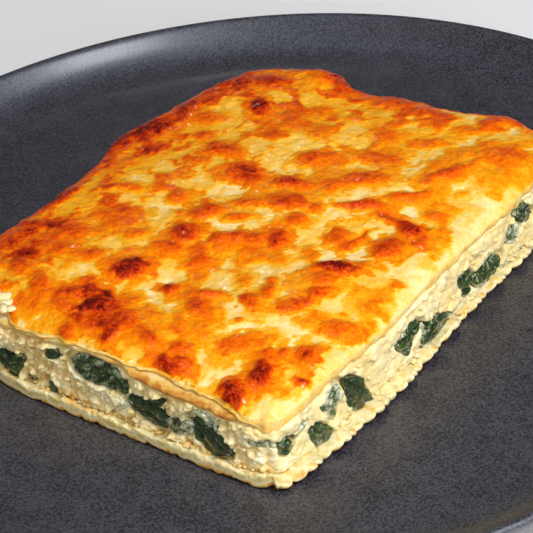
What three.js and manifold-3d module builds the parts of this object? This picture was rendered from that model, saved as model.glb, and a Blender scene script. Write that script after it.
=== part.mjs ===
// A slab of spinach and ricotta lasagna on a round stoneware plate.
// Millimetres, +Z up. The origin is the middle of the plate's foot, on the table.
// The slab's long side runs along Y. Its near short side (-Y) was cut with a knife, and its
// right long side (+X) shows the frilled edge of the bottom pasta sheet.
import * as THREE from "three";
import { mergeVertices } from "three/addons/utils/BufferGeometryUtils.js";
import Module from "manifold-3d";

const wasm = await Module();
wasm.setup();

// Driving sizes.
const plate = {
  radius: 135,
  height: 18.5,
  floorZ: 8,
  floorRadius: 119,
  footRadius: 78,
  footWidth: 9,
  underZ: 2.6,
  lip: 3.2,
  facets: 52,
};
// Corners of the slab seen from above, with the radius that rounds each one.
const slab = {
  nearLeft: { x: -54, y: -63.6, round: 6 },
  nearRight: { x: 60.2, y: -63.6, round: 6 },
  farRight: { x: 59, y: 75, round: 14 },
  farLeft: { x: -51.5, y: 73, round: 30 },
  middle: { x: 4, y: 5 },
  edgeHeight: 18.4,
  crown: 2.8,
};
// Swellings and dents of the sides: place along the side, reach outwards and spread.
const rightSwells = [{ at: -24, reach: 2.2, spread: 26 }];
const farSwells = [
  { at: 36, reach: 3, spread: 5 },
  { at: 18, reach: -2.6, spread: 8 },
  { at: -8, reach: -5, spread: 6 },
  { at: -22, reach: 1.5, spread: 5 },
];
const leftSwells = [
  { at: 18, reach: 3, spread: 8 },
  { at: -18, reach: -3.4, spread: 16 },
];
const gap = 0.3;
// The layers share the inner points of the faces where they meet: an outline set in by
// coreInsets, filled with a grid of this many cells.
const coreInsets = { front: 3.5, right: 5.6, far: 6, left: 6 };
const coreCells = { across: 11, along: 14 };
const bottomSheet = {
  thick: 2.6,
  insets: { front: -2.2, right: -0.5, far: -0.5, left: -1.2 },
  nearReach: 2.3,
  frillPitch: 12.3,
  frillStart: 3.77,
  frillRise: 1.8,
  frillReach: 8,
  scallop: 0.9,
};
const topSheet = { thick: 1.5, setBack: 2.8 };
const cheese = { thick: 2.3, lip: 1.8, bubbleRise: 0.35, bubblePitch: 5 };

// The largest browned blisters of the cheese: place, half lengths along and across, turn in
// degrees from +X, and rise.
const blisters = [
  { x: 2, y: -53, along: 13.5, across: 6.9, turn: -12, rise: 2 },
  { x: -8, y: -34, along: 8.2, across: 3.6, turn: 9, rise: 2.1 },
  { x: 28, y: -59, along: 7.2, across: 3.4, turn: -2, rise: 1.4 },
  { x: 46, y: -59, along: 4.9, across: 4.1, turn: 27, rise: 1.9 },
  { x: 48, y: -49, along: 4.5, across: 5.2, turn: -36, rise: 1.6 },
  { x: 56, y: -40, along: 5.7, across: 7.5, turn: 16, rise: 1.4 },
  { x: 40, y: -10, along: 8.6, across: 3.6, turn: 19, rise: 2.2 },
  { x: 50, y: 5, along: 10.1, across: 3.5, turn: 38, rise: 2.6 },
  { x: 32, y: 21, along: 12.6, across: 3.7, turn: 40, rise: 1.7 },
  { x: 41, y: 41, along: 9.7, across: 4.6, turn: 44, rise: 2 },
  { x: -5, y: -4, along: 5.2, across: 3.5, turn: -7, rise: 1.6 },
  { x: -5, y: -15, along: 6, across: 3.7, turn: 16, rise: 1.4 },
  { x: 6, y: 17, along: 5.9, across: 3.5, turn: 7, rise: 1.5 },
  { x: 12, y: 9, along: 6, across: 3.5, turn: 7, rise: 1.3 },
  { x: -24, y: 42, along: 7.3, across: 5.1, turn: -12, rise: 2.2 },
  { x: -6, y: 15, along: 7, across: 3.5, turn: 9, rise: 1.4 },
  { x: -36, y: -32, along: 9.1, across: 10.7, turn: 3, rise: 1.8 },
  { x: -42, y: 9, along: 7.1, across: 13.9, turn: -2, rise: 2 },
  { x: -21, y: 64, along: 12.3, across: 6.4, turn: -11, rise: 2.6 },
  { x: 36, y: 68, along: 10.9, across: 6.1, turn: 23, rise: 2 },
  { x: 19, y: -34, along: 7.2, across: 3.5, turn: 2, rise: 1.3 },
  { x: 53, y: 49, along: 7.3, across: 8.4, turn: 24, rise: 1.2 },
];

// Cooked spinach that shows at the two cut or open sides, each a folded leaf lying along
// its side: place along the side, height over the plate's floor, length, thickness and
// lean in degrees.
const frontLeaves = [
  { at: -26.2, up: 8.4, long: 9.3, tall: 6.5, lean: -3 },
  { at: -9.5, up: 15.6, long: 7, tall: 3.1, lean: 15 },
  { at: -11.9, up: 4.3, long: 5, tall: 3.6, lean: -83 },
  { at: 5.9, up: 14.6, long: 19, tall: 8.6, lean: -7 },
  { at: 21.3, up: 7.8, long: 12.7, tall: 7.7, lean: -18 },
  { at: 32.5, up: 8.5, long: 11.4, tall: 4.3, lean: 14 },
  { at: 43.1, up: 9.5, long: 14.5, tall: 8.2, lean: -35 },
  { at: 54, up: 11.8, long: 9, tall: 3.4, lean: 4 },
];
const rightLeaves = [
  { at: -57.5, up: 10.1, long: 5.4, tall: 4.6, lean: -16 },
  { at: -46.5, up: 4.5, long: 13.6, tall: 5, lean: -42 },
  { at: -41.7, up: 12.9, long: 8.2, tall: 7.5, lean: 44 },
  { at: -31, up: 8, long: 16.5, tall: 5.7, lean: -51 },
  { at: -16.7, up: 5.4, long: 5.4, tall: 2.6, lean: 2 },
  { at: -8.9, up: 11.1, long: 11.8, tall: 4.9, lean: 3 },
  { at: 5.2, up: 3.6, long: 14.1, tall: 8.8, lean: 6 },
  { at: 19.4, up: 9.5, long: 7.3, tall: 4.7, lean: -28 },
  { at: 29.5, up: 7.7, long: 12.9, tall: 7, lean: 1 },
  { at: 46.1, up: 11.9, long: 11.4, tall: 7.4, lean: 19 },
  { at: 49, up: 5.4, long: 5.4, tall: 2.6, lean: -17 },
];
// The two sides turned away from the table's edge are finished alike, by a rule.
const hiddenLeaves = { farCount: 4, leftCount: 5 };
const leafShape = { depth: 6, sink: 0.8, spokes: 6, steps: 5 };
const curds = { count: 13, least: 1.8, most: 3.4, sink: 0.5 };

// A small seeded generator, so that every build is the same.
function seeded(seed) {
  let state = seed;
  return (low, high) => {
    state = (state * 1664525 + 1013904223) >>> 0;
    return low + (state / 4294967296) * (high - low);
  };
}

const smooth = (t) => {
  const c = Math.min(1, Math.max(0, t));
  return c * c * (3 - 2 * c);
};
const bell = (dx, dy, spread) => Math.exp(-(dx * dx + dy * dy) / (2 * spread * spread));

// The sum of the swellings of a side at a place along it.
const swell = (swells, at) =>
  swells.reduce((sum, s) => sum + s.reach * Math.exp(-((at - s.at) ** 2) / (2 * s.spread ** 2)), 0);

// The point in plan of the slab at u across and v along, each from -1 to 1, with its sides
// moved inwards by an inset each.
function planPoint(u, v, { front, right, far, left }) {
  const { nearLeft, nearRight, farRight, farLeft, middle } = slab;
  const mix = THREE.MathUtils.lerp;
  const [s, t] = [(u + 1) / 2, (v + 1) / 2];
  const edge = {
    left: mix(nearLeft.x, farLeft.x, t) + left - swell(leftSwells, mix(nearLeft.y, farLeft.y, t)),
    right: mix(nearRight.x, farRight.x, t) - right + swell(rightSwells, mix(nearRight.y, farRight.y, t)),
    front: mix(nearLeft.y, nearRight.y, s) + front,
    far: mix(farLeft.y, farRight.y, s) - far + swell(farSwells, mix(farLeft.x, farRight.x, s)),
  };
  const [x, y] = [mix(edge.left, edge.right, s), mix(edge.front, edge.far, t)];
  const corner = v < 0 ? (u < 0 ? nearLeft : nearRight) : u < 0 ? farLeft : farRight;
  const reach = Math.hypot(x - middle.x, y - middle.y);
  const pull = (0.41 * corner.round * Math.abs(u * v) ** (120 / corner.round)) / Math.max(1, reach);
  return [mix(x, middle.x, pull), mix(y, middle.y, pull)];
}

// The height of the filling's top over the plate's floor: a low crown, slow waves, and a
// sag at the near right corner, where the cheese has run down.
function fillingTop(x, y) {
  const u = (x - slab.middle.x) / 57;
  const v = (y - slab.middle.y) / 70;
  const inside = Math.max(0, 1 - u ** 4) * Math.max(0, 1 - v ** 4);
  const waves = 0.5 * Math.sin(x / 11 + 1) * Math.sin(y / 13 + 0.5) + 0.35 * Math.sin(x / 7 - y / 9);
  const sag = 2.4 * bell(x - slab.nearRight.x, y - slab.nearRight.y - 1.6, 12);
  return slab.edgeHeight + slab.crown * inside + waves - sag;
}

const rightSideX = (y) =>
  THREE.MathUtils.mapLinear(y, slab.nearRight.y, slab.farRight.y, slab.nearRight.x, slab.farRight.x) +
  swell(rightSwells, y);
const leftSideX = (y) =>
  THREE.MathUtils.mapLinear(y, slab.nearLeft.y, slab.farLeft.y, slab.nearLeft.x, slab.farLeft.x) -
  swell(leftSwells, y);

// The wave of the bottom sheet's frilled long edges, from -1 to 1, with a slow wander.
const frillWave = (y) =>
  Math.sin((2 * Math.PI * y) / bottomSheet.frillPitch + bottomSheet.frillStart + 0.8 * Math.sin(y / 15 - 1.15));

// How far those edges stand up from the plate.
function frillLift(x, y) {
  const { frillRise, frillReach } = bottomSheet;
  const fromEdge = Math.min(rightSideX(y) - x, x - leftSideX(y)) + 1.2;
  const strength = 1 - smooth(fromEdge / frillReach);
  return frillRise * strength * (0.5 + 0.5 * frillWave(y));
}

// The relief of the cheese: browned blisters, and small bubbles between them.
function cheeseRelief(x, y) {
  let rise = 0;
  for (const b of blisters) {
    const turn = THREE.MathUtils.degToRad(b.turn);
    const along = ((x - b.x) * Math.cos(turn) + (y - b.y) * Math.sin(turn)) / b.along;
    const across = ((y - b.y) * Math.cos(turn) - (x - b.x) * Math.sin(turn)) / b.across;
    rise += b.rise * Math.exp(-Math.pow(along * along + across * across, 1.4));
  }
  const k = (2 * Math.PI) / cheese.bubblePitch;
  const bubbles = Math.sin(k * x + 2 * Math.sin(y / 9)) * Math.sin(k * y * 0.8 + 2 * Math.sin(x / 8));
  return rise + cheese.bubbleRise * bubbles;
}

// How far the cheese's edge hangs past the top sheet: not at all on the knife-cut near side.
function cheeseDrape(x, y) {
  const side = smooth((Math.abs(x - slab.middle.x) - 42) / 12) + smooth((y - 54) / 12);
  const run = 1.7 + smooth((x - 50) / 8) * smooth((20 - y) / 20);
  return run * Math.min(1, side) * smooth((y + 56) / 8) * (1 + 0.3 * Math.sin((x + y) / 5));
}

// A surface is built point by point. Its bands and fans take rings of point numbers, in
// the order that runs anticlockwise when seen from where the rings climb to.
const newSurface = () => ({ position: [], index: [] });

function addPoint(surface, point) {
  surface.position.push(...point);
  return surface.position.length / 3 - 1;
}

// Joins two rings. One may have twice as many points as the other.
function addBand(surface, low, high) {
  const most = Math.max(low.length, high.length);
  const at = (ring, i) => ring[Math.floor((i * ring.length) / most) % ring.length];
  for (let i = 0; i < most; i++) {
    const [a, b, c, d] = [at(low, i), at(low, i + 1), at(high, i), at(high, i + 1)];
    if (a !== b) surface.index.push(a, b, d);
    if (c !== d) surface.index.push(a, d, c);
  }
}

const addBands = (surface, rings) =>
  rings.slice(1).forEach((ring, i) => addBand(surface, rings[i], ring));

// Closes a ring with a point at its middle.
function addFan(surface, ring, up) {
  const middle = [0, 1, 2].map((axis) => ring.reduce((sum, i) => sum + surface.position[3 * i + axis], 0));
  const centre = addPoint(surface, middle.map((sum) => sum / ring.length));
  ring.forEach((point, i) => {
    const next = ring[(i + 1) % ring.length];
    surface.index.push(centre, ...(up ? [point, next] : [next, point]));
  });
}

// A grid over lists of places across and along, facing up or down. Gives the ring of its
// rim, from the near left corner.
function addGrid(surface, across, along, pointAt, up) {
  const grid = along.map((v) => across.map((u) => addPoint(surface, pointAt(u, v))));
  for (let j = 0; j + 1 < along.length; j++) {
    for (let i = 0; i + 1 < across.length; i++) {
      const [a, b, c, d] = [grid[j][i], grid[j][i + 1], grid[j + 1][i + 1], grid[j + 1][i]];
      surface.index.push(...(up ? [a, b, c, a, c, d] : [a, c, b, a, d, c]));
    }
  }
  const [near, far] = [grid[0], grid[grid.length - 1]];
  const right = grid.map((row) => row[row.length - 1]);
  const left = grid.map((row) => row[0]);
  return [
    ...near.slice(0, -1),
    ...right.slice(0, -1),
    ...[...far].reverse().slice(0, -1),
    ...left.reverse().slice(0, -1),
  ];
}

function toGeometry({ position, index }) {
  const geometry = new THREE.BufferGeometry();
  geometry.setAttribute("position", new THREE.Float32BufferAttribute(position, 3));
  geometry.setIndex(index);
  return geometry;
}

// Even places from -1 to 1.
const evenly = (cells) => Array.from({ length: cells + 1 }, (_, i) => (2 * i) / cells - 1);

// A ring round the slab, in step with the rim of a grid of those places.
function addRing(surface, across, along, pointAt) {
  const places = [
    ...across.slice(0, -1).map((u) => [u, -1]),
    ...along.slice(0, -1).map((v) => [1, v]),
    ...[...across].reverse().slice(0, -1).map((u) => [u, 1]),
    ...[...along].reverse().slice(0, -1).map((v) => [-1, v]),
  ];
  return places.map(([u, v]) => addPoint(surface, pointAt(u, v)));
}

// Insets with each side moved outwards, by one distance or by one for each side.
const outwards = (insets, by) =>
  Object.fromEntries(Object.entries(insets).map(([side, inset]) => [side, inset - (by[side] ?? by)]));

// A point of a ring or grid that keeps to those insets, at a height that its place gives.
const pointOn = (insets, height) => (u, v) => {
  const [x, y] = planPoint(u, v, insets);
  return [x, y, height(x, y)];
};

const coreAcross = evenly(coreCells.across);
const coreAlong = evenly(coreCells.along);
const addCoreGrid = (surface, height, up) =>
  addGrid(surface, coreAcross, coreAlong, pointOn(coreInsets, height), up);

// One layer between two faces that it shares with its neighbours. rows are the rings of its
// side between the faces, each moved outwards.
function layer({ insets, low, high, rows = [] }) {
  const surface = newSurface();
  const side = [{ by: 0, height: low }, ...rows, { by: 0, height: high }];
  const rings = [
    addCoreGrid(surface, low, false),
    ...side.map(({ by, height }) => addRing(surface, coreAcross, coreAlong, pointOn(outwards(insets, by), height))),
    addCoreGrid(surface, high, true),
  ];
  addBands(surface, rings);
  return toGeometry(surface);
}

const geometryToSolid = (geometry) => {
  const bare = geometry.clone();
  bare.deleteAttribute("normal");
  bare.deleteAttribute("uv");
  const merged = mergeVertices(bare, 1e-4);
  return new wasm.Manifold(
    new wasm.Mesh({
      numProp: 3,
      vertProperties: new Float32Array(merged.attributes.position.array),
      triVerts: new Uint32Array(merged.index.array),
    }),
  );
};

const solidToGeometry = (solid) => {
  const { vertProperties, triVerts } = solid.getMesh();
  const geometry = new THREE.BufferGeometry();
  geometry.setAttribute("position", new THREE.BufferAttribute(new Float32Array(vertProperties), 3));
  geometry.setIndex(new THREE.BufferAttribute(new Uint32Array(triVerts), 1));
  return geometry;
};

// Crumbs that a cut leaves loose are dropped.
const largestBody = (solid) => solid.decompose().reduce((a, b) => (b.volume() > a.volume() ? b : a));

// The plate: a flat floor with a short upturned wall, turned about its axis, on a foot ring.
function plateGeometry() {
  const { radius, height, floorZ, floorRadius, footRadius, footWidth, underZ, lip, facets } = plate;
  const footInside = footRadius - footWidth;
  const corners = [
    [0, underZ],
    [footInside, underZ],
    [footInside + 2, 0],
    [footRadius - 2, 0],
    [footRadius, underZ],
    [floorRadius - 3, underZ + 1.8],
    [radius - 5, height - 10],
    [radius - 0.6, height - 4],
    [radius, height - 1.2],
    [radius - 0.35 * lip, height],
    [radius - 0.85 * lip, height - 0.3],
    [radius - 1.6 * lip, height - 3.8],
    [radius - 3 * lip, height - 8.6],
    [floorRadius - 3, floorZ],
    [0, floorZ],
  ];
  const profile = corners.map(([r, z]) => new THREE.Vector2(r, z));
  return new THREE.LatheGeometry(profile, facets).rotateX(Math.PI / 2);
}

// The bottom pasta sheet lies flat, with both long edges frilled. below and above move its
// two faces apart, for the space that it keeps from the filling.
function bottomSheetGeometry(below = 0, above = 0) {
  const { thick, insets, nearReach, frillReach, scallop } = bottomSheet;
  const fine = { across: evenly(14), along: evenly(46) };
  const coarse = { across: evenly(7), along: evenly(23) };
  const wavy = (by, rise) => (u, v) => {
    const [x, y] = planPoint(u, v, outwards(insets, -by));
    const wave = scallop * frillWave(y);
    const reach = Math.abs(u) === 1 ? wave * Math.sign(u) * smooth((1 - Math.abs(v)) / 0.05) : 0;
    // The right edge reaches further out at its near end.
    const skew = u === 1 && by === 0 ? nearReach * smooth((24 - y) / 50) : 0;
    return [x + reach * (by > 0 ? 0.4 : 1) + skew, y, plate.floorZ + gap + frillLift(x, y) + rise];
  };
  const surface = newSurface();
  const half = (rise) => [
    addRing(surface, fine.across, fine.along, wavy(0, rise)),
    addRing(surface, fine.across, fine.along, wavy(frillReach / 2, rise)),
    addRing(surface, coarse.across, coarse.along, wavy(frillReach + 1, rise)),
  ];
  const rings = [...half(-below).reverse(), ...half(thick + above)];
  addBands(surface, rings);
  addFan(surface, rings[0], false);
  addFan(surface, rings[rings.length - 1], true);
  return toGeometry(surface);
}

// The filling's sides: where they meet the sheets, and how far they swell between them.
const sides = ["front", "right", "far", "left"];
const fillingInsets = { front: 1, right: 2.6, far: 2.6, left: 2.6 };
const fillingSwell = { front: 0.8, right: 2, far: 1.4, left: 1.4 };

// The space between the two sheets, out to an extra reach past the filling's own sides,
// which swell between the sheets.
function fillingBand(reach) {
  const low = () => plate.floorZ + bottomSheet.thick / 2;
  const high = (x, y) => plate.floorZ + fillingTop(x, y) - gap;
  const row = (share) => ({
    by: Object.fromEntries(sides.map((side) => [side, fillingSwell[side] * Math.sin(Math.PI * share) ** 0.6])),
    height: (x, y) => THREE.MathUtils.lerp(low(), high(x, y), share),
  });
  const insets = outwards(fillingInsets, reach);
  const band = layer({ insets, low, high, rows: [row(0.3), row(0.55), row(0.8)] });
  return geometryToSolid(band).subtract(geometryToSolid(bottomSheetGeometry(bottomSheet.thick, gap)));
}

// A point on a side of the filling at a distance along it, with the way that the side runs
// there, anticlockwise round the slab.
function sidePoint(side, at) {
  const { nearLeft, nearRight, farRight, farLeft } = slab;
  const ends = {
    front: { from: [-1, -1], to: [1, -1], share: (at - nearLeft.x) / (nearRight.x - nearLeft.x) },
    right: { from: [1, -1], to: [1, 1], share: (at - nearRight.y) / (farRight.y - nearRight.y) },
    far: { from: [1, 1], to: [-1, 1], share: (at - farRight.x) / (farLeft.x - farRight.x) },
    left: { from: [-1, 1], to: [-1, -1], share: (at - farLeft.y) / (nearLeft.y - farLeft.y) },
  };
  const { from, to, share } = ends[side];
  const pointAt = (t) => {
    const [u, v] = [0, 1].map((axis) => THREE.MathUtils.lerp(from[axis], to[axis], t));
    return planPoint(u, v, outwards(fillingInsets, { front: 0, right: 1.4, far: 0.8, left: 0.8 }));
  };
  const [x, y] = pointAt(share);
  const [aheadX, aheadY] = pointAt(share + 0.02);
  return { x, y, run: Math.atan2(aheadY - y, aheadX - x) };
}

// A folded leaf as a closed tube of rings that wander and pinch along its length. grow
// makes the larger copy that cuts its pocket.
function leafGeometry(leaf, side, seed, grow) {
  const { depth, sink, spokes, steps } = leafShape;
  const draw = seeded(seed);
  const phase = draw(0, 6);
  const folds = draw(1.4, 2.4);
  const surface = newSurface();
  const rings = [];
  for (let i = 0; i < steps; i++) {
    const t = THREE.MathUtils.lerp(-0.94, 0.94, i / (steps - 1));
    const taper = Math.sqrt(1 - t * t);
    const wander = 0.12 * leaf.tall * Math.sin(folds * Math.PI * t + phase);
    const pinch = 1 - 0.18 * Math.cos(2 * folds * Math.PI * t + phase);
    rings.push(
      Array.from({ length: spokes }, (_, k) => {
        const a = (2 * Math.PI * k) / spokes;
        const across = (depth / 2 + grow) * taper * Math.cos(a);
        const up = ((leaf.tall / 2) * pinch + grow) * taper * Math.sin(a) + wander;
        return addPoint(surface, [(leaf.long / 2 + grow) * t, across, up]);
      }),
    );
  }
  addBands(surface, rings);
  addFan(surface, rings[0], false);
  addFan(surface, rings[steps - 1], true);
  const { x, y, run } = sidePoint(side, leaf.at);
  const place = new THREE.Matrix4()
    .makeTranslation(x, y, plate.floorZ + leaf.up)
    .multiply(new THREE.Matrix4().makeRotationZ(run))
    .multiply(new THREE.Matrix4().makeTranslation(0, sink, 0))
    .multiply(new THREE.Matrix4().makeRotationY(THREE.MathUtils.degToRad(-leaf.lean)));
  return toGeometry(surface).applyMatrix4(place);
}

// The leaves of one turned-away side, spaced evenly with a seeded wander.
function hiddenRow(side, from, to, count, seed) {
  const draw = seeded(seed);
  return Array.from({ length: count }, (_, i) => ({
    side,
    at: THREE.MathUtils.lerp(from, to, (i + 0.5) / count) + draw(-2, 2),
    up: draw(7, 12.2),
    long: draw(11, 20),
    tall: draw(6, 9),
    lean: draw(-25, 25),
  }));
}

// Ricotta curds that stand out of the filling's sides.
function curdSolids() {
  const draw = seeded(41);
  const spans = { front: [-46, 52], right: [-56, 64], far: [46, -26], left: [40, -54] };
  return Array.from({ length: curds.count }, (_, i) => {
    const side = sides[i % 4 === 3 ? 3 : i % 3];
    const [from, to] = spans[side];
    const { x, y, run } = sidePoint(side, draw(from, to));
    const size = draw(curds.least, curds.most);
    const up = draw(4.4 + size, 15 - size);
    const ball = new THREE.IcosahedronGeometry(size, 1)
      .scale(draw(0.9, 1.25), draw(0.9, 1.25), draw(0.7, 0.9))
      .rotateZ(draw(0, 3));
    const sink = size * curds.sink;
    ball.translate(x - sink * Math.sin(run), y + sink * Math.cos(run), plate.floorZ + up);
    return geometryToSolid(mergeVertices(ball));
  });
}

// The top pasta sheet lies on the filling. Its knife-cut edge shows on the near side, and
// on the others it stops inside the cheese's hanging edge.
function topSheetGeometry() {
  const { thick, setBack } = topSheet;
  const low = (x, y) => plate.floorZ + fillingTop(x, y);
  const high = (x, y) => low(x, y) + thick;
  return layer({ insets: { front: 0.4, right: setBack, far: setBack, left: setBack }, low, high });
}

// The baked cheese: blistered on top, with an edge that hangs past the top sheet.
function cheeseGeometry() {
  const { thick, lip } = cheese;
  const insets = { front: 0.4, right: 0.2, far: 0.6, left: 0.6 };
  const low = (x, y) => plate.floorZ + fillingTop(x, y) + topSheet.thick + gap;
  const hanging = (x, y) => low(x, y) - cheeseDrape(x, y);
  const across = evenly(2 * coreCells.across);
  const along = evenly(2 * coreCells.along);
  const crust = (u, v) => {
    const [x, y] = planPoint(u, v, insets);
    const thinning = 1 - 0.4 * smooth((Math.max(Math.abs(u), Math.abs(v)) - 0.9) / 0.1);
    return [x, y, low(x, y) + (thick + cheeseRelief(x, y)) * thinning];
  };
  const surface = newSurface();
  const coarse = (by, height) =>
    addRing(surface, coreAcross, coreAlong, pointOn(outwards(insets, by), height));
  const fine = (by, height) => addRing(surface, across, along, pointOn(outwards(insets, by), height));
  addBands(surface, [
    addCoreGrid(surface, low, false),
    coarse(-lip, low),
    coarse(0.2 - lip, hanging),
    fine(0, hanging),
    fine(0.7, (x, y) => low(x, y) + 0.5 * thick - 0.3 * cheeseDrape(x, y)),
    addGrid(surface, across, along, crust, true),
  ]);
  return toGeometry(surface);
}

const colours = {
  plate: 0x35353b,
  pasta: 0xe6c878,
  ricotta: 0xefe3c2,
  spinach: 0x1c3314,
  cheese: 0xe9932a,
};
const finish = (color, roughness) => new THREE.MeshStandardMaterial({ color, roughness, metalness: 0 });

const dish = new THREE.Group();
function addPiece(name, geometry, material) {
  geometry.computeVertexNormals();
  const mesh = new THREE.Mesh(geometry, material);
  mesh.name = name;
  dish.add(mesh);
}

addPiece("plate", plateGeometry(), finish(colours.plate, 0.45));
addPiece("bottom_pasta_sheet", bottomSheetGeometry(), finish(colours.pasta, 0.4));

const leaves = [
  ...frontLeaves.map((leaf) => ({ side: "front", ...leaf })),
  ...rightLeaves.map((leaf) => ({ side: "right", ...leaf })),
  ...hiddenRow("far", 50, -34, hiddenLeaves.farCount, 7),
  ...hiddenRow("left", 46, -56, hiddenLeaves.leftCount, 11),
];
const leafSpace = fillingBand(1);
let filling = fillingBand(0);
for (const curd of curdSolids()) filling = filling.add(curd.intersect(leafSpace));

// Each leaf takes its own pocket out of the filling, and out of the leaves after it.
const pockets = [];
leaves.forEach((leaf, i) => {
  let solid = geometryToSolid(leafGeometry(leaf, leaf.side, 100 + i, 0)).intersect(leafSpace);
  for (const pocket of pockets) solid = solid.subtract(pocket);
  pockets.push(geometryToSolid(leafGeometry(leaf, leaf.side, 100 + i, gap)));
  const name = "spinach_leaf_" + String(i + 1).padStart(2, "0");
  addPiece(name, solidToGeometry(largestBody(solid)), finish(colours.spinach, 0.35));
});
for (const pocket of pockets) filling = filling.subtract(pocket);
addPiece("ricotta_filling", solidToGeometry(largestBody(filling)), finish(colours.ricotta, 0.55));

addPiece("top_pasta_sheet", topSheetGeometry(), finish(colours.pasta, 0.4));
addPiece("baked_cheese_top", cheeseGeometry(), finish(colours.cheese, 0.4));

export default dish;
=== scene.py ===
import math
import random
import bpy
import numpy as np
from mathutils import Matrix, Vector


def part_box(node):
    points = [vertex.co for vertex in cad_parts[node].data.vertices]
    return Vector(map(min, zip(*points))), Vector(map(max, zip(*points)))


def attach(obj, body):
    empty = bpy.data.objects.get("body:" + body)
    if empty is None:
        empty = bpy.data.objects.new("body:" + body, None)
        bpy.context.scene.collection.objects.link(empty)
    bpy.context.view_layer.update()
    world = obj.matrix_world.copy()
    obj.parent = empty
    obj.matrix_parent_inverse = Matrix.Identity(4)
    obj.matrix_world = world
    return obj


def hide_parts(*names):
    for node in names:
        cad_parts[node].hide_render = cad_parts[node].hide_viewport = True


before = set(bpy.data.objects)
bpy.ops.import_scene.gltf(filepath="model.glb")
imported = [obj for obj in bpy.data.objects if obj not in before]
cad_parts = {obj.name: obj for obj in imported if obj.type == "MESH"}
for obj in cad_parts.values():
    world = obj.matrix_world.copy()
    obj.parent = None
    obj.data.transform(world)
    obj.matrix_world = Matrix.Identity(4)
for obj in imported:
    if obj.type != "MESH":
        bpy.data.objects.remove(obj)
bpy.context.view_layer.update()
mm = 0.001
plateFloor = 8.0  # height of the plate's floor, in mm

# The slab in plan, in mm: corners with their radius, and swellings as place, reach, spread
slab = {
    "nearLeft": (-54, -63.6, 6), "nearRight": (60.2, -63.6, 6),
    "farRight": (59, 75, 14), "farLeft": (-51.5, 73, 30),
    "middle": (4, 5), "edgeHeight": 18.4, "crown": 2.8, "crownReach": (57, 70),
    "sag": (60.2, -62, 2.4, 12),  # the near right corner hangs: place, depth, spread
    "rightSwells": [(-24, 2.2, 26)],
    "farSwells": [(36, 3, 5), (18, -2.6, 8), (-8, -5, 6), (-22, 1.5, 5)],
    "leftSwells": [(18, 3, 8), (-18, -3.4, 16)],
    "sideCounts": (380, 460, 160, 212),  # points along the front, right, far and left, four to a whole share
}
sideNames = ("front", "right", "far", "left")
sideSpans = {"front": (-54, 60.2), "right": (-63.6, 75), "far": (59, -51.5), "left": (73, -63.6)}


def smooth(t):
    t = np.clip(t, 0, 1)
    return t * t * (3 - 2 * t)


def mix(a, b, t):
    return a + (b - a) * t


def window(value, low, high, soft):
    return smooth((value - low) / soft + 0.5) * smooth((high - value) / soft + 0.5)


def swell(swells, at):
    return sum(reach * np.exp(-((at - place) ** 2) / (2 * spread ** 2)) for place, reach, spread in swells)


# Plan position of the slab at u across and v along (-1 to 1), sides moved in by insets in mm
def planPoint(u, v, insets):
    front, right, far, left = insets
    nearLeft, nearRight, farRight, farLeft = (slab[k] for k in ("nearLeft", "nearRight", "farRight", "farLeft"))
    s, t = (u + 1) / 2, (v + 1) / 2
    leftSwell = swell(slab["leftSwells"], mix(nearLeft[1], farLeft[1], t))
    rightSwell = swell(slab["rightSwells"], mix(nearRight[1], farRight[1], t))
    farSwell = swell(slab["farSwells"], mix(farLeft[0], farRight[0], s))
    xLeft = mix(nearLeft[0], farLeft[0], t) + left - leftSwell
    xRight = mix(nearRight[0], farRight[0], t) - right + rightSwell
    yFront = mix(nearLeft[1], nearRight[1], s) + front
    yFar = mix(farLeft[1], farRight[1], s) - far + farSwell
    x, y = mix(xLeft, xRight, s), mix(yFront, yFar, t)
    near, away = np.where(u < 0, nearLeft[2], nearRight[2]), np.where(u < 0, farLeft[2], farRight[2])
    radius = np.where(v < 0, near, away)
    midX, midY = slab["middle"]
    reach = np.maximum(1, np.hypot(x - midX, y - midY))
    pull = 0.41 * radius * np.abs(u * v) ** (120 / radius) / reach
    return mix(x, midX, pull), mix(y, midY, pull)


# A turn round the rim: 0 to 1 along the front, 1 to 2 right, 2 to 3 far, 3 to 4 left
def rimPlace(turn):
    turn = np.mod(turn, 4)
    side, f = np.floor(turn), np.mod(turn, 1)
    u = np.select([side == 0, side == 1, side == 2], [2 * f - 1, np.ones_like(f), 1 - 2 * f], -1.0)
    v = np.select([side == 0, side == 1, side == 2], [-np.ones_like(f), 2 * f - 1, np.ones_like(f)], 1 - 2 * f)
    return u, v


def turnOf(u, v):
    return np.select([v <= -0.9999, u >= 0.9999, v >= 0.9999],
                     [(u + 1) / 2, 1 + (v + 1) / 2, 2 + (1 - u) / 2], 3 + (1 - v) / 2)


def outwardAt(turn):
    flush = (0, 0, 0, 0)
    ax, ay = planPoint(*rimPlace(turn + 0.02), flush)
    bx, by = planPoint(*rimPlace(turn - 0.02), flush)
    length = np.hypot(ax - bx, ay - by)
    return (ay - by) / length, (bx - ax) / length


# Height of the filling's top over the plate's floor
def fillingTop(x, y):
    (midX, midY), (reachX, reachY) = slab["middle"], slab["crownReach"]
    u, v = (x - midX) / reachX, (y - midY) / reachY
    inside = np.maximum(0, 1 - u ** 4) * np.maximum(0, 1 - v ** 4)
    waves = 0.5 * np.sin(x / 11 + 1) * np.sin(y / 13 + 0.5) + 0.35 * np.sin(x / 7 - y / 9)
    sagX, sagY, depth, spread = slab["sag"]
    sag = depth * np.exp(-((x - sagX) ** 2 + (y - sagY) ** 2) / (2 * spread ** 2))
    return slab["edgeHeight"] + slab["crown"] * inside + waves - sag


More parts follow.
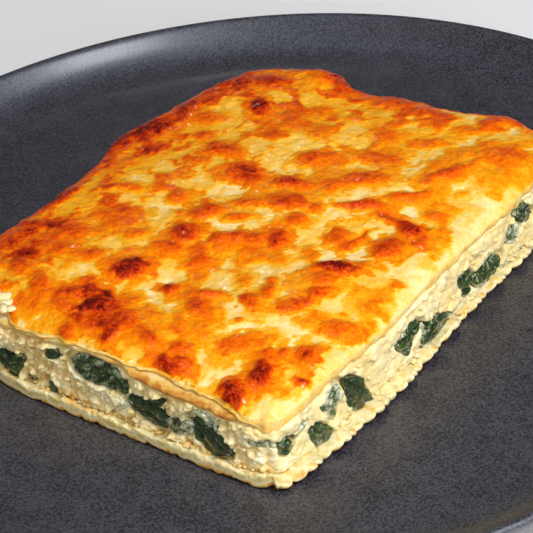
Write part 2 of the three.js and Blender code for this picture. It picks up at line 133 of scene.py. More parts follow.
# Repeatable random value, 0 to 1, for whole-number cells
def cellValue(ix, iy, iz, seed):
    h = (ix * 73856093) ^ (iy * 19349663) ^ (iz * 83492791) ^ (seed * 2654435761)
    h = ((h ^ (h >> 13)) * 1274126177) & 0xFFFFFFFF
    return ((h ^ (h >> 16)) & 0xFFFF) / 65535


# Soft noise, 0 to 1, over points in mm, with features about size across
def softNoise(x, y, z, size, seed, octaves=1):
    points = np.stack(np.broadcast_arrays(x, y, z), axis=1).astype(float)
    total, weight = 0, 0
    for octave in range(octaves):
        p = points * (2 ** octave / size)
        base = np.floor(p).astype(np.int64)
        f = smooth(p - base)
        value = 0
        for corner in np.ndindex(2, 2, 2):
            share = abs(1 - corner[0] - f[:, 0]) * abs(1 - corner[1] - f[:, 1]) * abs(1 - corner[2] - f[:, 2])
            value = value + share * cellValue(*(base + corner).T, seed + octave)
        total = total + value / 2 ** octave
        weight += 1 / 2 ** octave
    return total / weight


# The same noise, swinging evenly to both sides of 0
def waver(x, y, z, size, seed, octaves=1):
    return softNoise(x, y, z, size, seed, octaves) - 0.5


# Rounded curds about size across: their height 0 to 1, and a value of its own for each
def curdNoise(x, y, z, size, seed):
    p = np.stack(np.broadcast_arrays(x, y, z), axis=1).astype(float) / size
    base = np.floor(p).astype(np.int64)
    best = np.full(len(p), 9.0)
    own = np.zeros(len(p))
    for step in np.ndindex(3, 3, 3):
        cell = base + step - 1
        middle = cell + np.stack([cellValue(*cell.T, seed + k) for k in (1, 2, 3)], axis=1)
        d = np.sqrt(((middle - p) ** 2).sum(axis=1))
        nearer = d < best
        best = np.where(nearer, d, best)
        own = np.where(nearer, cellValue(*cell.T, seed + 4), own)
    return np.sqrt(np.maximum(0, 1 - (best / 0.95) ** 2)), own


def editMode():
    bpy.ops.object.mode_set(mode="EDIT")


def objectMode():
    bpy.ops.object.mode_set(mode="OBJECT")


def deselectAll():
    if bpy.context.mode != "OBJECT":
        objectMode()
    bpy.ops.object.select_all(action="DESELECT")


def getCoords(piece):
    co = np.empty(len(piece.data.vertices) * 3)
    piece.data.vertices.foreach_get("co", co)
    return co.reshape(-1, 3)


def setCoords(piece, x, y, z):
    co = np.stack(np.broadcast_arrays(x, y, z), axis=1) * mm
    piece.data.vertices.foreach_set("co", co.ravel())
    piece.data.update()


def paint(piece, name, values):
    layer = piece.data.attributes.new(name, "FLOAT", "POINT")
    layer.data.foreach_set("value", np.asarray(values, dtype=np.float32))


def faceOutwards(piece):
    deselectAll()
    piece.select_set(True)
    bpy.context.view_layer.objects.active = piece
    editMode()
    bpy.ops.mesh.select_all(action="SELECT")
    bpy.ops.mesh.normals_make_consistent(inside=False)
    objectMode()


def applyModifier(piece, kind, **settings):
    modifier = piece.modifiers.new(kind.title(), kind)
    for key, value in settings.items():
        setattr(modifier, key, value)
    bpy.context.view_layer.objects.active = piece
    bpy.ops.object.modifier_apply(modifier=modifier.name)


def joinPieces(pieces):
    deselectAll()
    for piece in pieces:
        piece.select_set(True)
    bpy.context.view_layer.objects.active = pieces[0]
    if len(pieces) > 1:
        bpy.ops.object.join()
    return bpy.context.object


def finishPiece(piece, name, slotName, material, *nodes):
    piece.name = name
    piece.data.name = name
    piece.data.materials.clear()
    piece.data.materials.append(material)
    faceOutwards(piece)
    bpy.ops.object.shade_smooth()
    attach(piece, "root")
    if nodes:
        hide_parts(*nodes)


# Draws the chosen rim together into one point
def closeRim():
    bpy.ops.mesh.extrude_region_move()
    bpy.ops.mesh.merge(type="CENTER")


# Closes the rim whose points meet a test, from object mode
def closeWhere(piece, test):
    for v in piece.data.vertices:
        v.select = test(v.co)
    editMode()
    closeRim()
    objectMode()


# A tube of rows hanging from a circle, one unit a row, closed at both ends
def ringBlank(count, rows):
    deselectAll()
    bpy.ops.mesh.primitive_circle_add(vertices=count, radius=1, fill_type="NOTHING", location=(0, 0, 0))
    blank = bpy.context.object
    editMode()
    bpy.ops.mesh.select_all(action="SELECT")
    for row in range(rows):
        bpy.ops.mesh.extrude_region_move(TRANSFORM_OT_translate={"value": (0, 0, -1)})
    closeRim()
    bpy.ops.mesh.select_all(action="DESELECT")
    objectMode()
    closeWhere(blank, lambda co: co.z > -0.5)
    return blank


# Where each point of a ring blank belongs: its turn round the slab, its row, and 0 at the two poles
def ringPlaces(blank, counts):
    co = getCoords(blank)
    total = sum(counts)
    k = np.mod(np.round(np.arctan2(co[:, 1], co[:, 0]) / (2 * math.pi) * total), total).astype(int)
    turns = np.concatenate([side + np.arange(n) / n for side, n in enumerate(counts)])
    return turns[k], np.round(-co[:, 2]).astype(int), (np.hypot(co[:, 0], co[:, 1]) > 0.5).astype(float)


# Rows of a sheet, from the middle of its top out, over the edge and back in below: distance in from
# the edge, and share of the thickness
def sheetRows(steps, edgeRows):
    over = [(0.0, (k + 1) / edgeRows) for k in range(edgeRows - 1)]
    return np.array([(step, 0.0) for step in reversed(steps)] + over + [(step, 1.0) for step in steps])


# A flat grid in u and v whose rim hangs down in rows, one unit a row, closed underneath
def gridBlank(across, along, rows):
    deselectAll()
    bpy.ops.mesh.primitive_grid_add(x_subdivisions=across, y_subdivisions=along, size=2, location=(0, 0, 0))
    blank = bpy.context.object
    editMode()
    bpy.ops.mesh.select_mode(type="EDGE")
    bpy.ops.mesh.select_all(action="SELECT")
    bpy.ops.mesh.region_to_loop()
    for row in range(rows):
        bpy.ops.mesh.extrude_region_move(TRANSFORM_OT_translate={"value": (0, 0, -1)})
    closeRim()
    bpy.ops.mesh.select_mode(type="VERT")
    objectMode()
    return blank


# Materials
def toLinear(colour):
    return tuple((c / 255 / 12.92) if c <= 10 else ((c / 255 + 0.055) / 1.055) ** 2.4 for c in colour) + (1,)


def shaderOf(material):
    return material.node_tree.nodes["Principled BSDF"]


def newMaterial(name, **sockets):
    material = bpy.data.materials.new(name)
    material.use_nodes = True
    for socket, value in sockets.items():
        shaderOf(material).inputs[socket.replace("_", " ")].default_value = value
    return material


def joinUp(material, value, socket):
    if isinstance(value, bpy.types.NodeSocket):
        material.node_tree.links.new(value, socket)
    else:
        socket.default_value = value


def addNode(material, kind, settings=None, **sockets):
    node = material.node_tree.nodes.new(kind)
    for key, value in (settings or {}).items():
        setattr(node, key, value)
    for socket, value in sockets.items():
        joinUp(material, value, node.inputs[socket.replace("_", " ")])
    return node


def addNoise(material, size, detail=3, roughness=0.55, distortion=0.0):
    place = addNode(material, "ShaderNodeTexCoord").outputs["Object"]
    return addNode(material, "ShaderNodeTexNoise", Vector=place, Scale=1 / (size * mm), Detail=detail,
                   Roughness=roughness, Distortion=distortion).outputs["Fac"]


def addAttribute(material, name):
    return addNode(material, "ShaderNodeAttribute", {"attribute_name": name}).outputs["Fac"]


def addMath(material, operation, a, b, clamp=False):
    node = addNode(material, "ShaderNodeMath", {"operation": operation, "use_clamp": clamp})
    joinUp(material, a, node.inputs[0])
    joinUp(material, b, node.inputs[1])
    return node.outputs[0]


def plus(material, a, b, clamp=False):
    return addMath(material, "ADD", a, b, clamp)


def minus(material, a, b):
    return addMath(material, "SUBTRACT", a, b)


def times(material, a, b, clamp=False):
    return addMath(material, "MULTIPLY", a, b, clamp)


# Noise that swings to both sides of 0
def addCloud(material, *noise):
    return minus(material, addNoise(material, *noise), 0.5)


# A painted value, 0 to 1, clouded by noise
def addLevel(material, name, strength, *noise):
    return plus(material, addAttribute(material, name), times(material, addCloud(material, *noise), strength), True)


# Rounded bubbles about size across, highest in their middle
def addBubbles(material, size):
    place = addNode(material, "ShaderNodeTexCoord").outputs["Object"]
    cells = addNode(material, "ShaderNodeTexVoronoi", {"feature": "SMOOTH_F1"}, Vector=place, Scale=1 / (size * mm))
    return minus(material, 1.0, cells.outputs["Distance"])


def addRamp(material, factor, stops):
    node = addNode(material, "ShaderNodeValToRGB", Fac=factor)
    ramp = node.color_ramp
    while len(ramp.elements) < len(stops):
        ramp.elements.new(0.5)
    for element, (place, colour) in zip(ramp.elements, stops):
        element.position = place
        element.color = toLinear(colour)
    return node.outputs["Color"]


# A colour, turned to a tint where the factor is 1
def addTint(material, colour, factor, tint):
    node = addNode(material, "ShaderNodeMix", {"data_type": "RGBA"}, Factor=factor)
    joinUp(material, colour, node.inputs[6])
    joinUp(material, toLinear(tint), node.inputs[7])
    return node.outputs[2]


def addBump(material, height, strength, depth):
    bump = addNode(material, "ShaderNodeBump", Height=height, Strength=strength, Distance=depth * mm)
    joinUp(material, bump.outputs["Normal"], shaderOf(material).inputs["Normal"])


def colourWith(material, colour):
    joinUp(material, colour, shaderOf(material).inputs["Base Color"])


stonewareLook = {"dark": (19, 19, 25), "light": (73, 72, 82), "speckle": (0.42, 0.58), "grain": 0.6, "cloud": 7,
                 "bump": 0.07}
# pasta from pale and moist (0) to dry and golden (1); on the top sheet's front edge the golden end is painted shade
pastaLook = {"stops": [(0.0, (204, 188, 114)), (0.3, (236, 226, 182)), (0.55, (228, 190, 104)),
                       (0.8, (196, 130, 48)), (1.0, (140, 78, 24))],
             "cloud": 1.6, "grain": 0.7, "bump": 0.2}
# ricotta from brown (0) to cream white (1); the brown end is reached where shade is painted, in crevices and under
# the top sheet
ricottaLook = {"stops": [(0.0, (176, 122, 58)), (0.22, (218, 174, 100)), (0.5, (243, 216, 148)),
                         (0.8, (246, 228, 176)), (1.0, (252, 243, 210))],
               "stain": (188, 192, 122), "cloud": 0.8, "grain": 0.7, "bump": 0.25}
spinachLook = {"stops": [(0.0, (12, 28, 4)), (0.35, (32, 60, 12)), (0.65, (64, 98, 26)), (1.0, (140, 162, 84))],
               "cream": (226, 228, 196), "creamFrom": 0.27, "cloud": 0.9, "streaks": 1.3, "puckers": 1.7,
               "grain": 0.75, "bump": 0.6, "roughness": 0.26}
cheeseLook = {"stops": [(0.0, (248, 238, 208)), (0.1, (248, 222, 158)), (0.2, (249, 200, 94)), (0.3, (249, 178, 34)),
                        (0.4, (249, 152, 2)), (0.5, (245, 125, 0)), (0.6, (238, 101, 0)), (0.7, (222, 78, 0)),
                        (0.8, (192, 52, 0)), (0.9, (154, 25, 1)), (1.0, (88, 10, 2))],
              "seam": (84, 74, 24), "coarse": 0.9, "grit": 0.42, "bubbles": 1.1, "grain": 0.6, "bump": 0.6,
              "roughness": 0.4}


def makeStoneware():
    look = stonewareLook
    material = newMaterial("stoneware", Roughness=0.44, Specular_IOR_Level=0.75, Specular_Tint=(0.72, 0.84, 1, 1),
                           Coat_Weight=0.3, Coat_Roughness=0.22)
    grain = addNoise(material, look["grain"], 3, 0.75)
    mixed = plus(material, times(material, grain, 0.88), times(material, addNoise(material, look["cloud"], 2), 0.12))
    stops = list(zip(look["speckle"], (look["dark"], look["light"])))
    colourWith(material, addRamp(material, mixed, stops))
    addBump(material, grain, 0.3, look["bump"])
    return material


def makePasta():
    look = pastaLook
    material = newMaterial("moistPasta", Roughness=0.38, Subsurface_Weight=0.3, Subsurface_Scale=0.002,
                           Subsurface_Radius=(1.0, 0.7, 0.3), Specular_IOR_Level=0.3,
                           Coat_Weight=0.12, Coat_Roughness=0.12)
    level = addLevel(material, "tone", 0.8, look["cloud"], 5, 0.7)
    colourWith(material, addRamp(material, level, look["stops"]))
    addBump(material, addNoise(material, look["grain"], 4), 0.5, look["bump"])
    return material


def makeRicotta():
    look = ricottaLook
    material = newMaterial("freshRicotta", Roughness=0.5, Subsurface_Weight=0.5, Subsurface_Scale=0.0022,
                           Subsurface_Radius=(1.0, 0.78, 0.46), Specular_IOR_Level=0.2,
                           Coat_Weight=0.08, Coat_Roughness=0.15)
    colour = addRamp(material, addLevel(material, "tone", 0.5, look["cloud"], 4, 0.65), look["stops"])
    colourWith(material, addTint(material, colour, addAttribute(material, "greening"), look["stain"]))
    addBump(material, addNoise(material, look["grain"], 4, 0.6), 0.5, look["bump"])
    return material


def makeSpinach():
    look = spinachLook
    material = newMaterial("wiltedSpinach", Specular_IOR_Level=0.5, Coat_Weight=1.0, Coat_Roughness=0.06)
    green = addRamp(material, addLevel(material, "lightness", 0.8, look["cloud"], 4, 0.65), look["stops"])
    streaks = plus(material, addAttribute(material, "cream"), addCloud(material, look["streaks"], 4, 0.7, 0.8))
    smear = times(material, minus(material, streaks, look["creamFrom"]), 5, True)
    colourWith(material, addTint(material, green, smear, look["cream"]))
    rough = plus(material, times(material, smear, 0.2), look["roughness"])
    joinUp(material, rough, shaderOf(material).inputs["Roughness"])
    puckers = times(material, addBubbles(material, look["puckers"]), 1.2)
    addBump(material, plus(material, puckers, addNoise(material, look["grain"], 3, 0.6)), 1.0, look["bump"])
    return material


def makeBakedCheese():
    look = cheeseLook
    material = newMaterial("bakedCheese", Subsurface_Weight=0.1, Subsurface_Scale=0.001,
                           Subsurface_Radius=(1.0, 0.4, 0.1), Specular_IOR_Level=0.05,
                           Coat_Weight=0.36, Coat_Roughness=0.05)
    browning = addAttribute(material, "browning")
    coarse, grit = addCloud(material, look["coarse"], 4, 0.75), addCloud(material, look["grit"], 3, 0.6)
    broken = times(material, plus(material, coarse, times(material, grit, 0.8)),
                   plus(material, times(material, browning, 0.7), 0.1))
    colour = addRamp(material, plus(material, browning, broken, True), look["stops"])
    colourWith(material, addTint(material, colour, addAttribute(material, "greening"), look["seam"]))
    rough = minus(material, look["roughness"], times(material, browning, 0.14))
    joinUp(material, rough, shaderOf(material).inputs["Roughness"])
    # fried bubbles where it is browned, a smooth skin where it is pale
    bubbles = times(material, addBubbles(material, look["bubbles"]), 0.8)
    height = plus(material, bubbles, addNoise(material, look["grain"], 4, 0.65))
    addBump(material, times(material, height, plus(material, browning, 0.05)), 1.0, look["bump"])
    return material


materials = {"stoneware": makeStoneware(), "pasta": makePasta(), "ricotta": makeRicotta(),
             "spinach": makeSpinach(), "baked_cheese": makeBakedCheese()}
print("materials made")

# Camera, light and floor
studio = {
    "cameraPlace": (0.35895, -0.39227, 0.36461),
    "cameraAxes": ((0.78806, 0.60575, -0.10968), (-0.26551, 0.4952, 0.82722), (0.5554, -0.62277, 0.55108)),
    "lens": 162.1, "sensor": 36,
    "skyStrength": 0.09, "skyColour": (0.97, 0.98, 1, 1),
    "floorSize": 6, "floorColour": (246, 247, 252), "floorGlow": 0.07,
}
# place, size, power and colour of each soft light; all face the slab
lightTarget = (0, -0.02, 0.02)
lights = {
    "keyLight": ((0.50, -0.12, 0.67), (0.26, 0.26), 5.7, (1, 0.98, 0.95)),
    "aboveLight": ((-0.1, -0.1, 0.85), (0.5, 0.5), 0.5, (0.98, 0.98, 1)),
    "frontLight": ((0.05, -0.85, 0.4), (0.6, 0.5), 2.75, (1, 0.92, 0.81)),
    "rightLight": ((0.95, -0.12, 0.30), (0.5, 0.25), 3.9, (1, 0.97, 0.92)),
    "backLight": ((-0.47, 0.52, 0.52), (0.035, 0.035), 0.06, (1, 0.99, 0.97)),
}


def softLight(name, place, size, power, colour):
    bpy.ops.object.light_add(type="AREA", location=place)
    light = bpy.context.object
    light.name = name
    light.data.shape = "RECTANGLE"
    light.data.size, light.data.size_y = size
    light.data.energy = power
    light.data.color = colour
    light.rotation_euler = (light.location - Vector(lightTarget)).to_track_quat("Z", "Y").to_euler()


deselectAll()
bpy.ops.object.camera_add(location=studio["cameraPlace"])
camera = bpy.context.object
camera.name = "tableCamera"
columns = (*studio["cameraAxes"], studio["cameraPlace"])
camera.matrix_world = Matrix([[column[r] for column in columns] for r in range(3)] + [[0, 0, 0, 1]])
camera.data.lens = studio["lens"]
camera.data.sensor_width = studio["sensor"]
camera.data.clip_start, camera.data.clip_end = 0.02, 20
bpy.context.scene.camera = camera
bpy.context.scene.view_settings.view_transform = "Standard"

for lightName, spec in lights.items():
    softLight(lightName, *spec)
world = bpy.data.worlds.new("paleRoom")
bpy.context.scene.world = world
world.use_nodes = True
sky = world.node_tree.nodes["Background"].inputs
sky["Color"].default_value = studio["skyColour"]
sky["Strength"].default_value = studio["skyStrength"]

deselectAll()
bpy.ops.mesh.primitive_plane_add(size=studio["floorSize"], location=(0, 0, 0))
tableTop = bpy.context.object
tableTop.name = "paleTable"
tableTop.data.materials.append(newMaterial(
    "paleTableTop", Roughness=0.6, Base_Color=toLinear(studio["floorColour"]),
    Emission_Color=(1, 1, 1, 1), Emission_Strength=studio["floorGlow"]))
print("camera, light and table placed")

# Plate, turned from its profile
plateShape = {
    "segments": 96, "smoothing": 2,
    # radius and height in mm, from the middle underneath, round the rim, to the middle of the floor
    "profile": [
        (30, 2.6), (66, 2.6), (69.2, 2.5), (71, 0.3), (73, 0.05), (76, 0.3), (77.8, 2.5), (92, 3.2), (108, 4.0),
        (116.5, 4.6), (124.5, 6.6), (130, 10), (133.4, 14), (134.7, 16.6), (134.9, 17.8), (134.2, 18.45),
        (133.2, 18.4), (132.2, 17.7), (130.6, 15.6), (128.2, 12.8), (125, 10.5), (120.6, 8.9), (115.5, 8.2),
        (108, 8.0), (92, 8.0), (60, 8.0), (30, 8.0),
    ],
}


def makePlate():
    profile = plateShape["profile"]
    firstRadius, firstHeight = profile[0]
    deselectAll()
    bpy.ops.mesh.primitive_circle_add(vertices=plateShape["segments"], radius=firstRadius * mm, fill_type="NOTHING",
                                      location=(0, 0, firstHeight * mm))
    plate = bpy.context.object
    bpy.ops.object.transform_apply(location=True)
    editMode()
    bpy.ops.mesh.select_all(action="SELECT")
    for (oldRadius, oldHeight), (radius, height) in zip(profile, profile[1:]):
        bpy.ops.mesh.extrude_region_move(TRANSFORM_OT_translate={"value": (0, 0, (height - oldHeight) * mm)})
        ratio = radius / oldRadius
        bpy.ops.transform.resize(value=(ratio, ratio, 1), center_override=(0, 0, height * mm))
    closeRim()
    bpy.ops.mesh.select_all(action="DESELECT")
    objectMode()
    closeWhere(plate, lambda co: math.hypot(co.x, co.y) < (firstRadius + 0.5) * mm and co.z < 4 * mm)
    levels = plateShape["smoothing"]
    applyModifier(plate, "SUBSURF", levels=levels, render_levels=levels)
    finishPiece(plate, "stonewarePlate", "stoneware", materials["stoneware"], "plate")


makePlate()
print("plate turned")

# Bottom pasta sheet, frilled along both long edges
bottomShape = {
    "thick": 2.6, "insets": (-2.2, -0.5, -0.5, -1.2), "nearReach": 2.0, "edgeRows": 8, "edgeWidth": 4,
    "frillPitch": 12.3, "frillStart": 3.77, "frillRise": 1.8, "frillReach": 8, "scallop": 0.9,
    "tooth": 3.3, "toothReach": 1.15, "toothRise": 0.2, "cutRagged": 2.6, "longRagged": 0.8,
    "steps": (0, 0.25, 0.7, 1.3, 2.1, 3.1, 4.4, 6.2, 9, 13, 20, 32),  # distances in from the edge
}


def sideEdge(near, far, y):
    return mix(slab[near][0], slab[far][0], (y - slab[near][1]) / (slab[far][1] - slab[near][1]))


def rightEdge(y):
    return sideEdge("nearRight", "farRight", y) + swell(slab["rightSwells"], y)


def frillWave(y):
    return np.sin(2 * np.pi * y / bottomShape["frillPitch"] + bottomShape["frillStart"] + 0.8 * np.sin(y / 15 - 1.15))


def frillLift(x, y):
    left = sideEdge("nearLeft", "farLeft", y) - swell(slab["leftSwells"], y)
    fromEdge = np.minimum(rightEdge(y) - x, x - left) + 1.2
    strength = 1 - smooth(fromEdge / bottomShape["frillReach"])
    return bottomShape["frillRise"] * strength * (0.5 + 0.5 * frillWave(y))


def makeBottomSheet():
    counts = slab["sideCounts"]
    table = sheetRows(bottomShape["steps"], bottomShape["edgeRows"])
    sheet = ringBlank(sum(counts), len(table) - 1)
    turn, row, rim = ringPlaces(sheet, counts)
    inset, depth = table[row].T
    u, v = rimPlace(turn)
    x, y = planPoint(u, v, [side + inset for side in bottomShape["insets"]])
    outX, outY = outwardAt(turn)
    near = 1 - smooth(inset / bottomShape["edgeWidth"])
    long = np.abs(u) > 0.9999
    right = long & (u > 0)
    front = window(turn, 0.0, 1.0, 0.02)
    wave = bottomShape["scallop"] * frillWave(y) + bottomShape["nearReach"] * smooth((24 - y) / 50) * right
    along = np.where(long, y, x) + 2.2 * waver(x, y, 0, 9, 5)
    # ruffles: rounded bumps with sharp notches between
    tooth = np.abs(np.sin(np.pi * along / bottomShape["tooth"])) ** 0.6 - 0.7
    uneven = 0.5 + softNoise(x, y, 20, 6, 19)
    rounding = (0.55 + 0.35 * front) * np.sin(np.pi * np.clip(depth, 0, 1)) * (inset < 0.01)
    ragged = waver(x, y, 10 + depth * 2.6, 1.8, 9, 3)
    ragged = ragged * np.where(long, bottomShape["longRagged"], bottomShape["cutRagged"])
    bowed = -2.0 * (1 - window(x, -26, 62, 22)) * front  # the cut edge bows out towards the right
    reach = near * np.where(long, wave + bottomShape["toothReach"] * tooth * uneven, 0) + rounding + near * ragged
    reach = np.where(front > 0.5, np.minimum(reach, 0.3), reach) + bowed * near
    x, y = x + outX * reach, y + outY * reach
    toothLift = near * np.where(long, bottomShape["toothRise"] * (tooth + 0.4) * uneven, 0)
    low = plateFloor + 0.3 + frillLift(x, y) + toothLift
    lumps = waver(x, y, 3, 2.6, 12, 3)
    top = low + bottomShape["thick"] * (1 - 0.35 * near * long) + (1.1 + 1.1 * front) * lumps * near
    top = top + 0.9 * front * smooth((3 - inset) / 3)
    low = low + np.maximum(0, 1.1 * (softNoise(x, y, 3, 2.2, 15, 3) - 0.45)) * near
    z = mix(top, low, depth)
    midX, midY = slab["middle"]
    x, y = mix(midX, x, rim), mix(midY, y, rim)
    setCoords(sheet, x, y, np.where(rim > 0, z, np.where(row == 0, plateFloor + 2.3, plateFloor + 0.3)))
    cloud = waver(x, y, depth * 3, 2.2, 13, 3)
    tone = 0.27 + 0.9 * cloud - 0.13 * front
    tone = tone + (0.8 + 0.4 * front) * near * np.maximum(0, depth - 0.5)  # golden underneath
    tone = tone + 0.25 * front * smooth((0.3 - depth) / 0.3) * (0.8 + 1.8 * np.maximum(-0.3, lumps))
    tone = tone + 0.5 * long * np.maximum(0, 1 - inset / 0.5) * np.maximum(0, tooth)  # the tips are browned
    paint(sheet, "tone", np.clip(tone, 0, 1))
    finishPiece(sheet, "bottomPastaSheet", "pasta", materials["pasta"], "bottom_pasta_sheet")


makeBottomSheet()
print("bottom pasta sheet laid")

# Spinach in the sides: each leaf is one or more lobes
leafShape = {"depth": 1.7, "proud": 0.55, "lift": 0.15, "fold": 0.6, "ragged": 0.75, "inset": 0.25,
             "around": 40, "spacing": 0.42, "film": {"front": 0.02, "right": 0.055, "far": 0.02, "left": 0.02}}
# Each lobe: its middle line as place along the side, height over the plate's floor, half width and, where
# it differs from the usual, lift; then cream and lightness
frontLeaves = [
    [([(-31.7, 8, 2.5), (-29, 7.4, 3.8), (-25.5, 7.4, 3.1), (-22.3, 9.5, 1.8), (-20.8, 10.6, 0.6)], 0.1, 0.3),
     ([(-27.4, 5.4, 1.9), (-25.6, 4.2, 1.8), (-24.2, 4, 0.6)], 0.12, 0.3)],
    [([(-12.9, 15.1, 0.8), (-11, 15.3, 1.7), (-8.9, 15.9, 1.6), (-6.4, 16.5, 0.9)], 0.12, 0.3),
     ([(-20.6, 5.2, 0.6), (-19.1, 5.1, 1.2), (-17.6, 5.2, 0.6)], 0.2, 0.45)],
    [([(-12.9, 6.4, 1.3), (-11.8, 5.4, 2.2), (-11.4, 3.3, 1.6), (-11.2, 1.8, 0.7)], 0.1, 0.3)],
    [([(-3.8, 16.4, 1.6), (-0.9, 15.5, 4.2), (3.3, 15.2, 4.4), (7.9, 15.3, 4.3), (12.4, 14.8, 4.1),
      (14.4, 12.5, 2.6), (14.9, 11, 1)], 0.2, 0.35),
     ([(8.3, 3.7, 0.4), (12.8, 7, 0.7), (17.4, 10.6, 0.7), (19.2, 11.9, 0.4)], 0.42, 0.8)],
    [([(14.6, 10.6, 1.6), (17.9, 9.8, 3.5), (21, 9.3, 4.0), (24.2, 9.0, 4.6), (26.4, 6.4, 3.3),
      (27.3, 5.1, 1.2)], 0.06, 0.3),
     ([(22.8, 12.3, 1.1), (26.2, 13.5, 1.4), (28.4, 14.8, 0.5)], 0.1, 0.35)],
    [([(27.1, 8.2, 1.5), (29.6, 7.6, 2.9), (32.9, 8.3, 2.8), (36.1, 9.2, 2.4), (38, 9.2, 0.9)], 0.3, 0.4)],
    [([(36.6, 12.3, 2.4), (39.4, 10.4, 4.5), (42.2, 8.4, 5), (45, 6.8, 4.3), (47.3, 5.8, 2.2),
      (49, 5.1, 0.8)], 0.05, 0.25),
     ([(36.5, 13.5, 0.7), (39.2, 14.8, 1.6), (41.8, 14, 2.1), (44, 12.1, 1.8), (46, 9.3, 1.3)], 0.34, 0.7)],
    [([(53.4, 12.5, 0.6), (55.1, 11.7, 1.2), (57.8, 11.6, 1.1), (60.9, 12.7, 1.2)], 0.35, 0.6),
     ([(61.4, 12.6, 0.9), (63.2, 12.7, 1.7), (64.8, 13.6, 1.5)], 0.05, 0.3)],
]
rightLeaves = [
    [([(-60.9, 7.6, 0.9), (-59.8, 9, 2.5), (-59.1, 10.3, 3), (-57.5, 10.3, 1.1)], 0.12, 0.35),
     ([(-56.7, 10.2, 0.7), (-54.7, 11.2, 0.8), (-52.6, 12.5, 0.9), (-52.1, 13.4, 0.4)], 0.3, 0.6),
     ([(-67.1, 14.6, 1), (-64.6, 12.3, 1), (-61.8, 11, 1.1)], 0.36, 0.6)],
    [([(-51.4, 9.9, 1, 0), (-49.3, 7.3, 2.4, 0.3), (-46.7, 4.4, 3.3, 0.6), (-43.9, 2.5, 2.1, 1.2),
      (-41.6, -0.4, 0.9, 1.6)], 0.08, 0.3),
     ([(-49.2, 10.3, 0.6), (-47.6, 8.6, 1.3), (-46, 6.6, 0.6)], 0.12, 0.35)],
    [([(-39, 15.9, 1.3), (-40, 14.5, 3.7), (-41.5, 13.1, 3.7), (-42.5, 11.3, 3.2), (-41.9, 8.2, 1.7),
      (-41.7, 6.8, 0.6)], 0.3, 0.45),
     ([(-46.7, 13.7, 0.6), (-45.1, 12.1, 1.3), (-43.1, 10.2, 0.9)], 0.2, 0.4)],
    [([(-36.5, 15.5, 1.2, 0), (-34.5, 12.7, 2.7, 0.1), (-32.3, 8.8, 3.9, 0.3), (-30.4, 5.1, 3.2, 0.6),
      (-27.8, 2.9, 1.7, 1.1), (-25.3, 1.8, 0.7, 1.4)], 0.05, 0.25),
     ([(-35.8, 9.3, 1), (-34.4, 6.6, 1.6), (-33, 4.1, 0.6)], 0.1, 0.3)],
    [([(-19, 2.2, 0.6), (-17.2, 2.2, 1.2), (-15.6, 2.4, 1.2), (-14.4, 2.3, 0.5)], 0.3, 0.5)],
    [([(-14.9, 11.5, 1.1, 0.6), (-12.1, 10.8, 2.8, 0.4), (-9.3, 10.9, 3.9, 0.2), (-6.3, 11.4, 3.2, 0.1),
      (-3, 11.6, 1.5, 0)], 0.16, 0.35),
     ([(-12.4, 8.6, 0.9), (-10.2, 7.5, 1.7), (-8.3, 7.8, 1.1)], 0.16, 0.35)],
    [([(12.8, 4.8, 1, 0), (10.3, 4.8, 1.5, 0), (6.9, 5.3, 2.6, 0.1), (3.4, 5.1, 5.1, 0.2),
      (0.8, 4.3, 6.3, 0.4), (-0.4, 2.3, 4.3, 0.7), (0.2, 0, 1.2, 0.9)], 0.14, 0.3),
     ([(-2.6, 10.5, 0.9), (-1, 8.5, 2.1), (-0.4, 5.7, 2)], 0.2, 0.4)],
    [([(15.8, 12.7, 1.1), (18.1, 11.3, 2.6), (20.5, 10.7, 2.8), (23.1, 10, 1.1)], 0.16, 0.3),
     ([(16.7, 8.4, 1), (19.6, 7.2, 2.2), (22, 7, 1.5)], 0.14, 0.3)],
    [([(22.7, 8.4, 1.2), (25.1, 7.6, 2.9), (28, 7.1, 3.8), (31.4, 6.8, 4.1), (34.4, 6.9, 4),
      (37, 7.9, 2)], 0.14, 0.35),
     ([(26.6, 4.1, 1.1), (27.7, 4.7, 2.1), (27.4, 6.2, 1)], 0.14, 0.3)],
    [([(44.4, 16, 1.3), (47.1, 15.4, 2.7), (50, 13.4, 2.8), (53.8, 11.8, 2.2)], 0.12, 0.3),
     ([(39.6, 11, 1.1), (41.8, 11.3, 2.8), (44.2, 11.1, 3.3), (46.8, 11.5, 2.4)], 0.3, 0.45)],
    [([(44.9, 4.1, 0.5), (47, 3.3, 1), (49.4, 2.7, 0.5)], 0.2, 0.4),
     ([(37.1, 4, 0.6), (39.5, 3.5, 0.8), (42.1, 2.6, 0.4)], 0.35, 0.55)],
]
leafLobes = {}
for leafSide, leaves in (("front", frontLeaves), ("right", rightLeaves)):
    for lobes in leaves:
        leafLobes[f"spinach_leaf_{len(leafLobes) + 1:02d}"] = (leafSide, lobes)

fillingShape = {
    "insets": (1, 2.6, 2.6, 2.6), "rows": 58, "inward": (0.97, 0.9, 0.78, 0.6, 0.35, 0.12),
    "swells": (0.8, 2.0, 1.4, 1.4), "low": 2.45,
    # size and height of the curds, largest first, and the share of that height on the right side
    "curds": ((5.4, 1.7, 1.1), (2.5, 1.5, 0.7), (1.25, 1.0, 0.4)),
}


# 1 along one side of the slab, 0 along the others
def sideShare(turn, index, soft):
    return sum(window(turn + lap, index, index + 1, soft) for lap in (-4, 0, 4))


# How far the filling's side stands out past its plan, at a share of its height
def sideBulge(turn, share):
    reach = sum(swells * sideShare(turn, k, 0.04) for k, swells in enumerate(fillingShape["swells"]))
    bend = np.where(share > 0.5, 5 + 20 * sideShare(turn, 1, 0.04), 5)  # the right side stays full up to the crust
    return reach * np.sqrt(np.clip(1 - np.abs(2 * share - 1) ** bend, 0, 1))


def turnAt(side, at):
    start, end = sideSpans[side]
    return sideNames.index(side) + np.clip((at - start) / (end - start), 0.0, 0.9999)


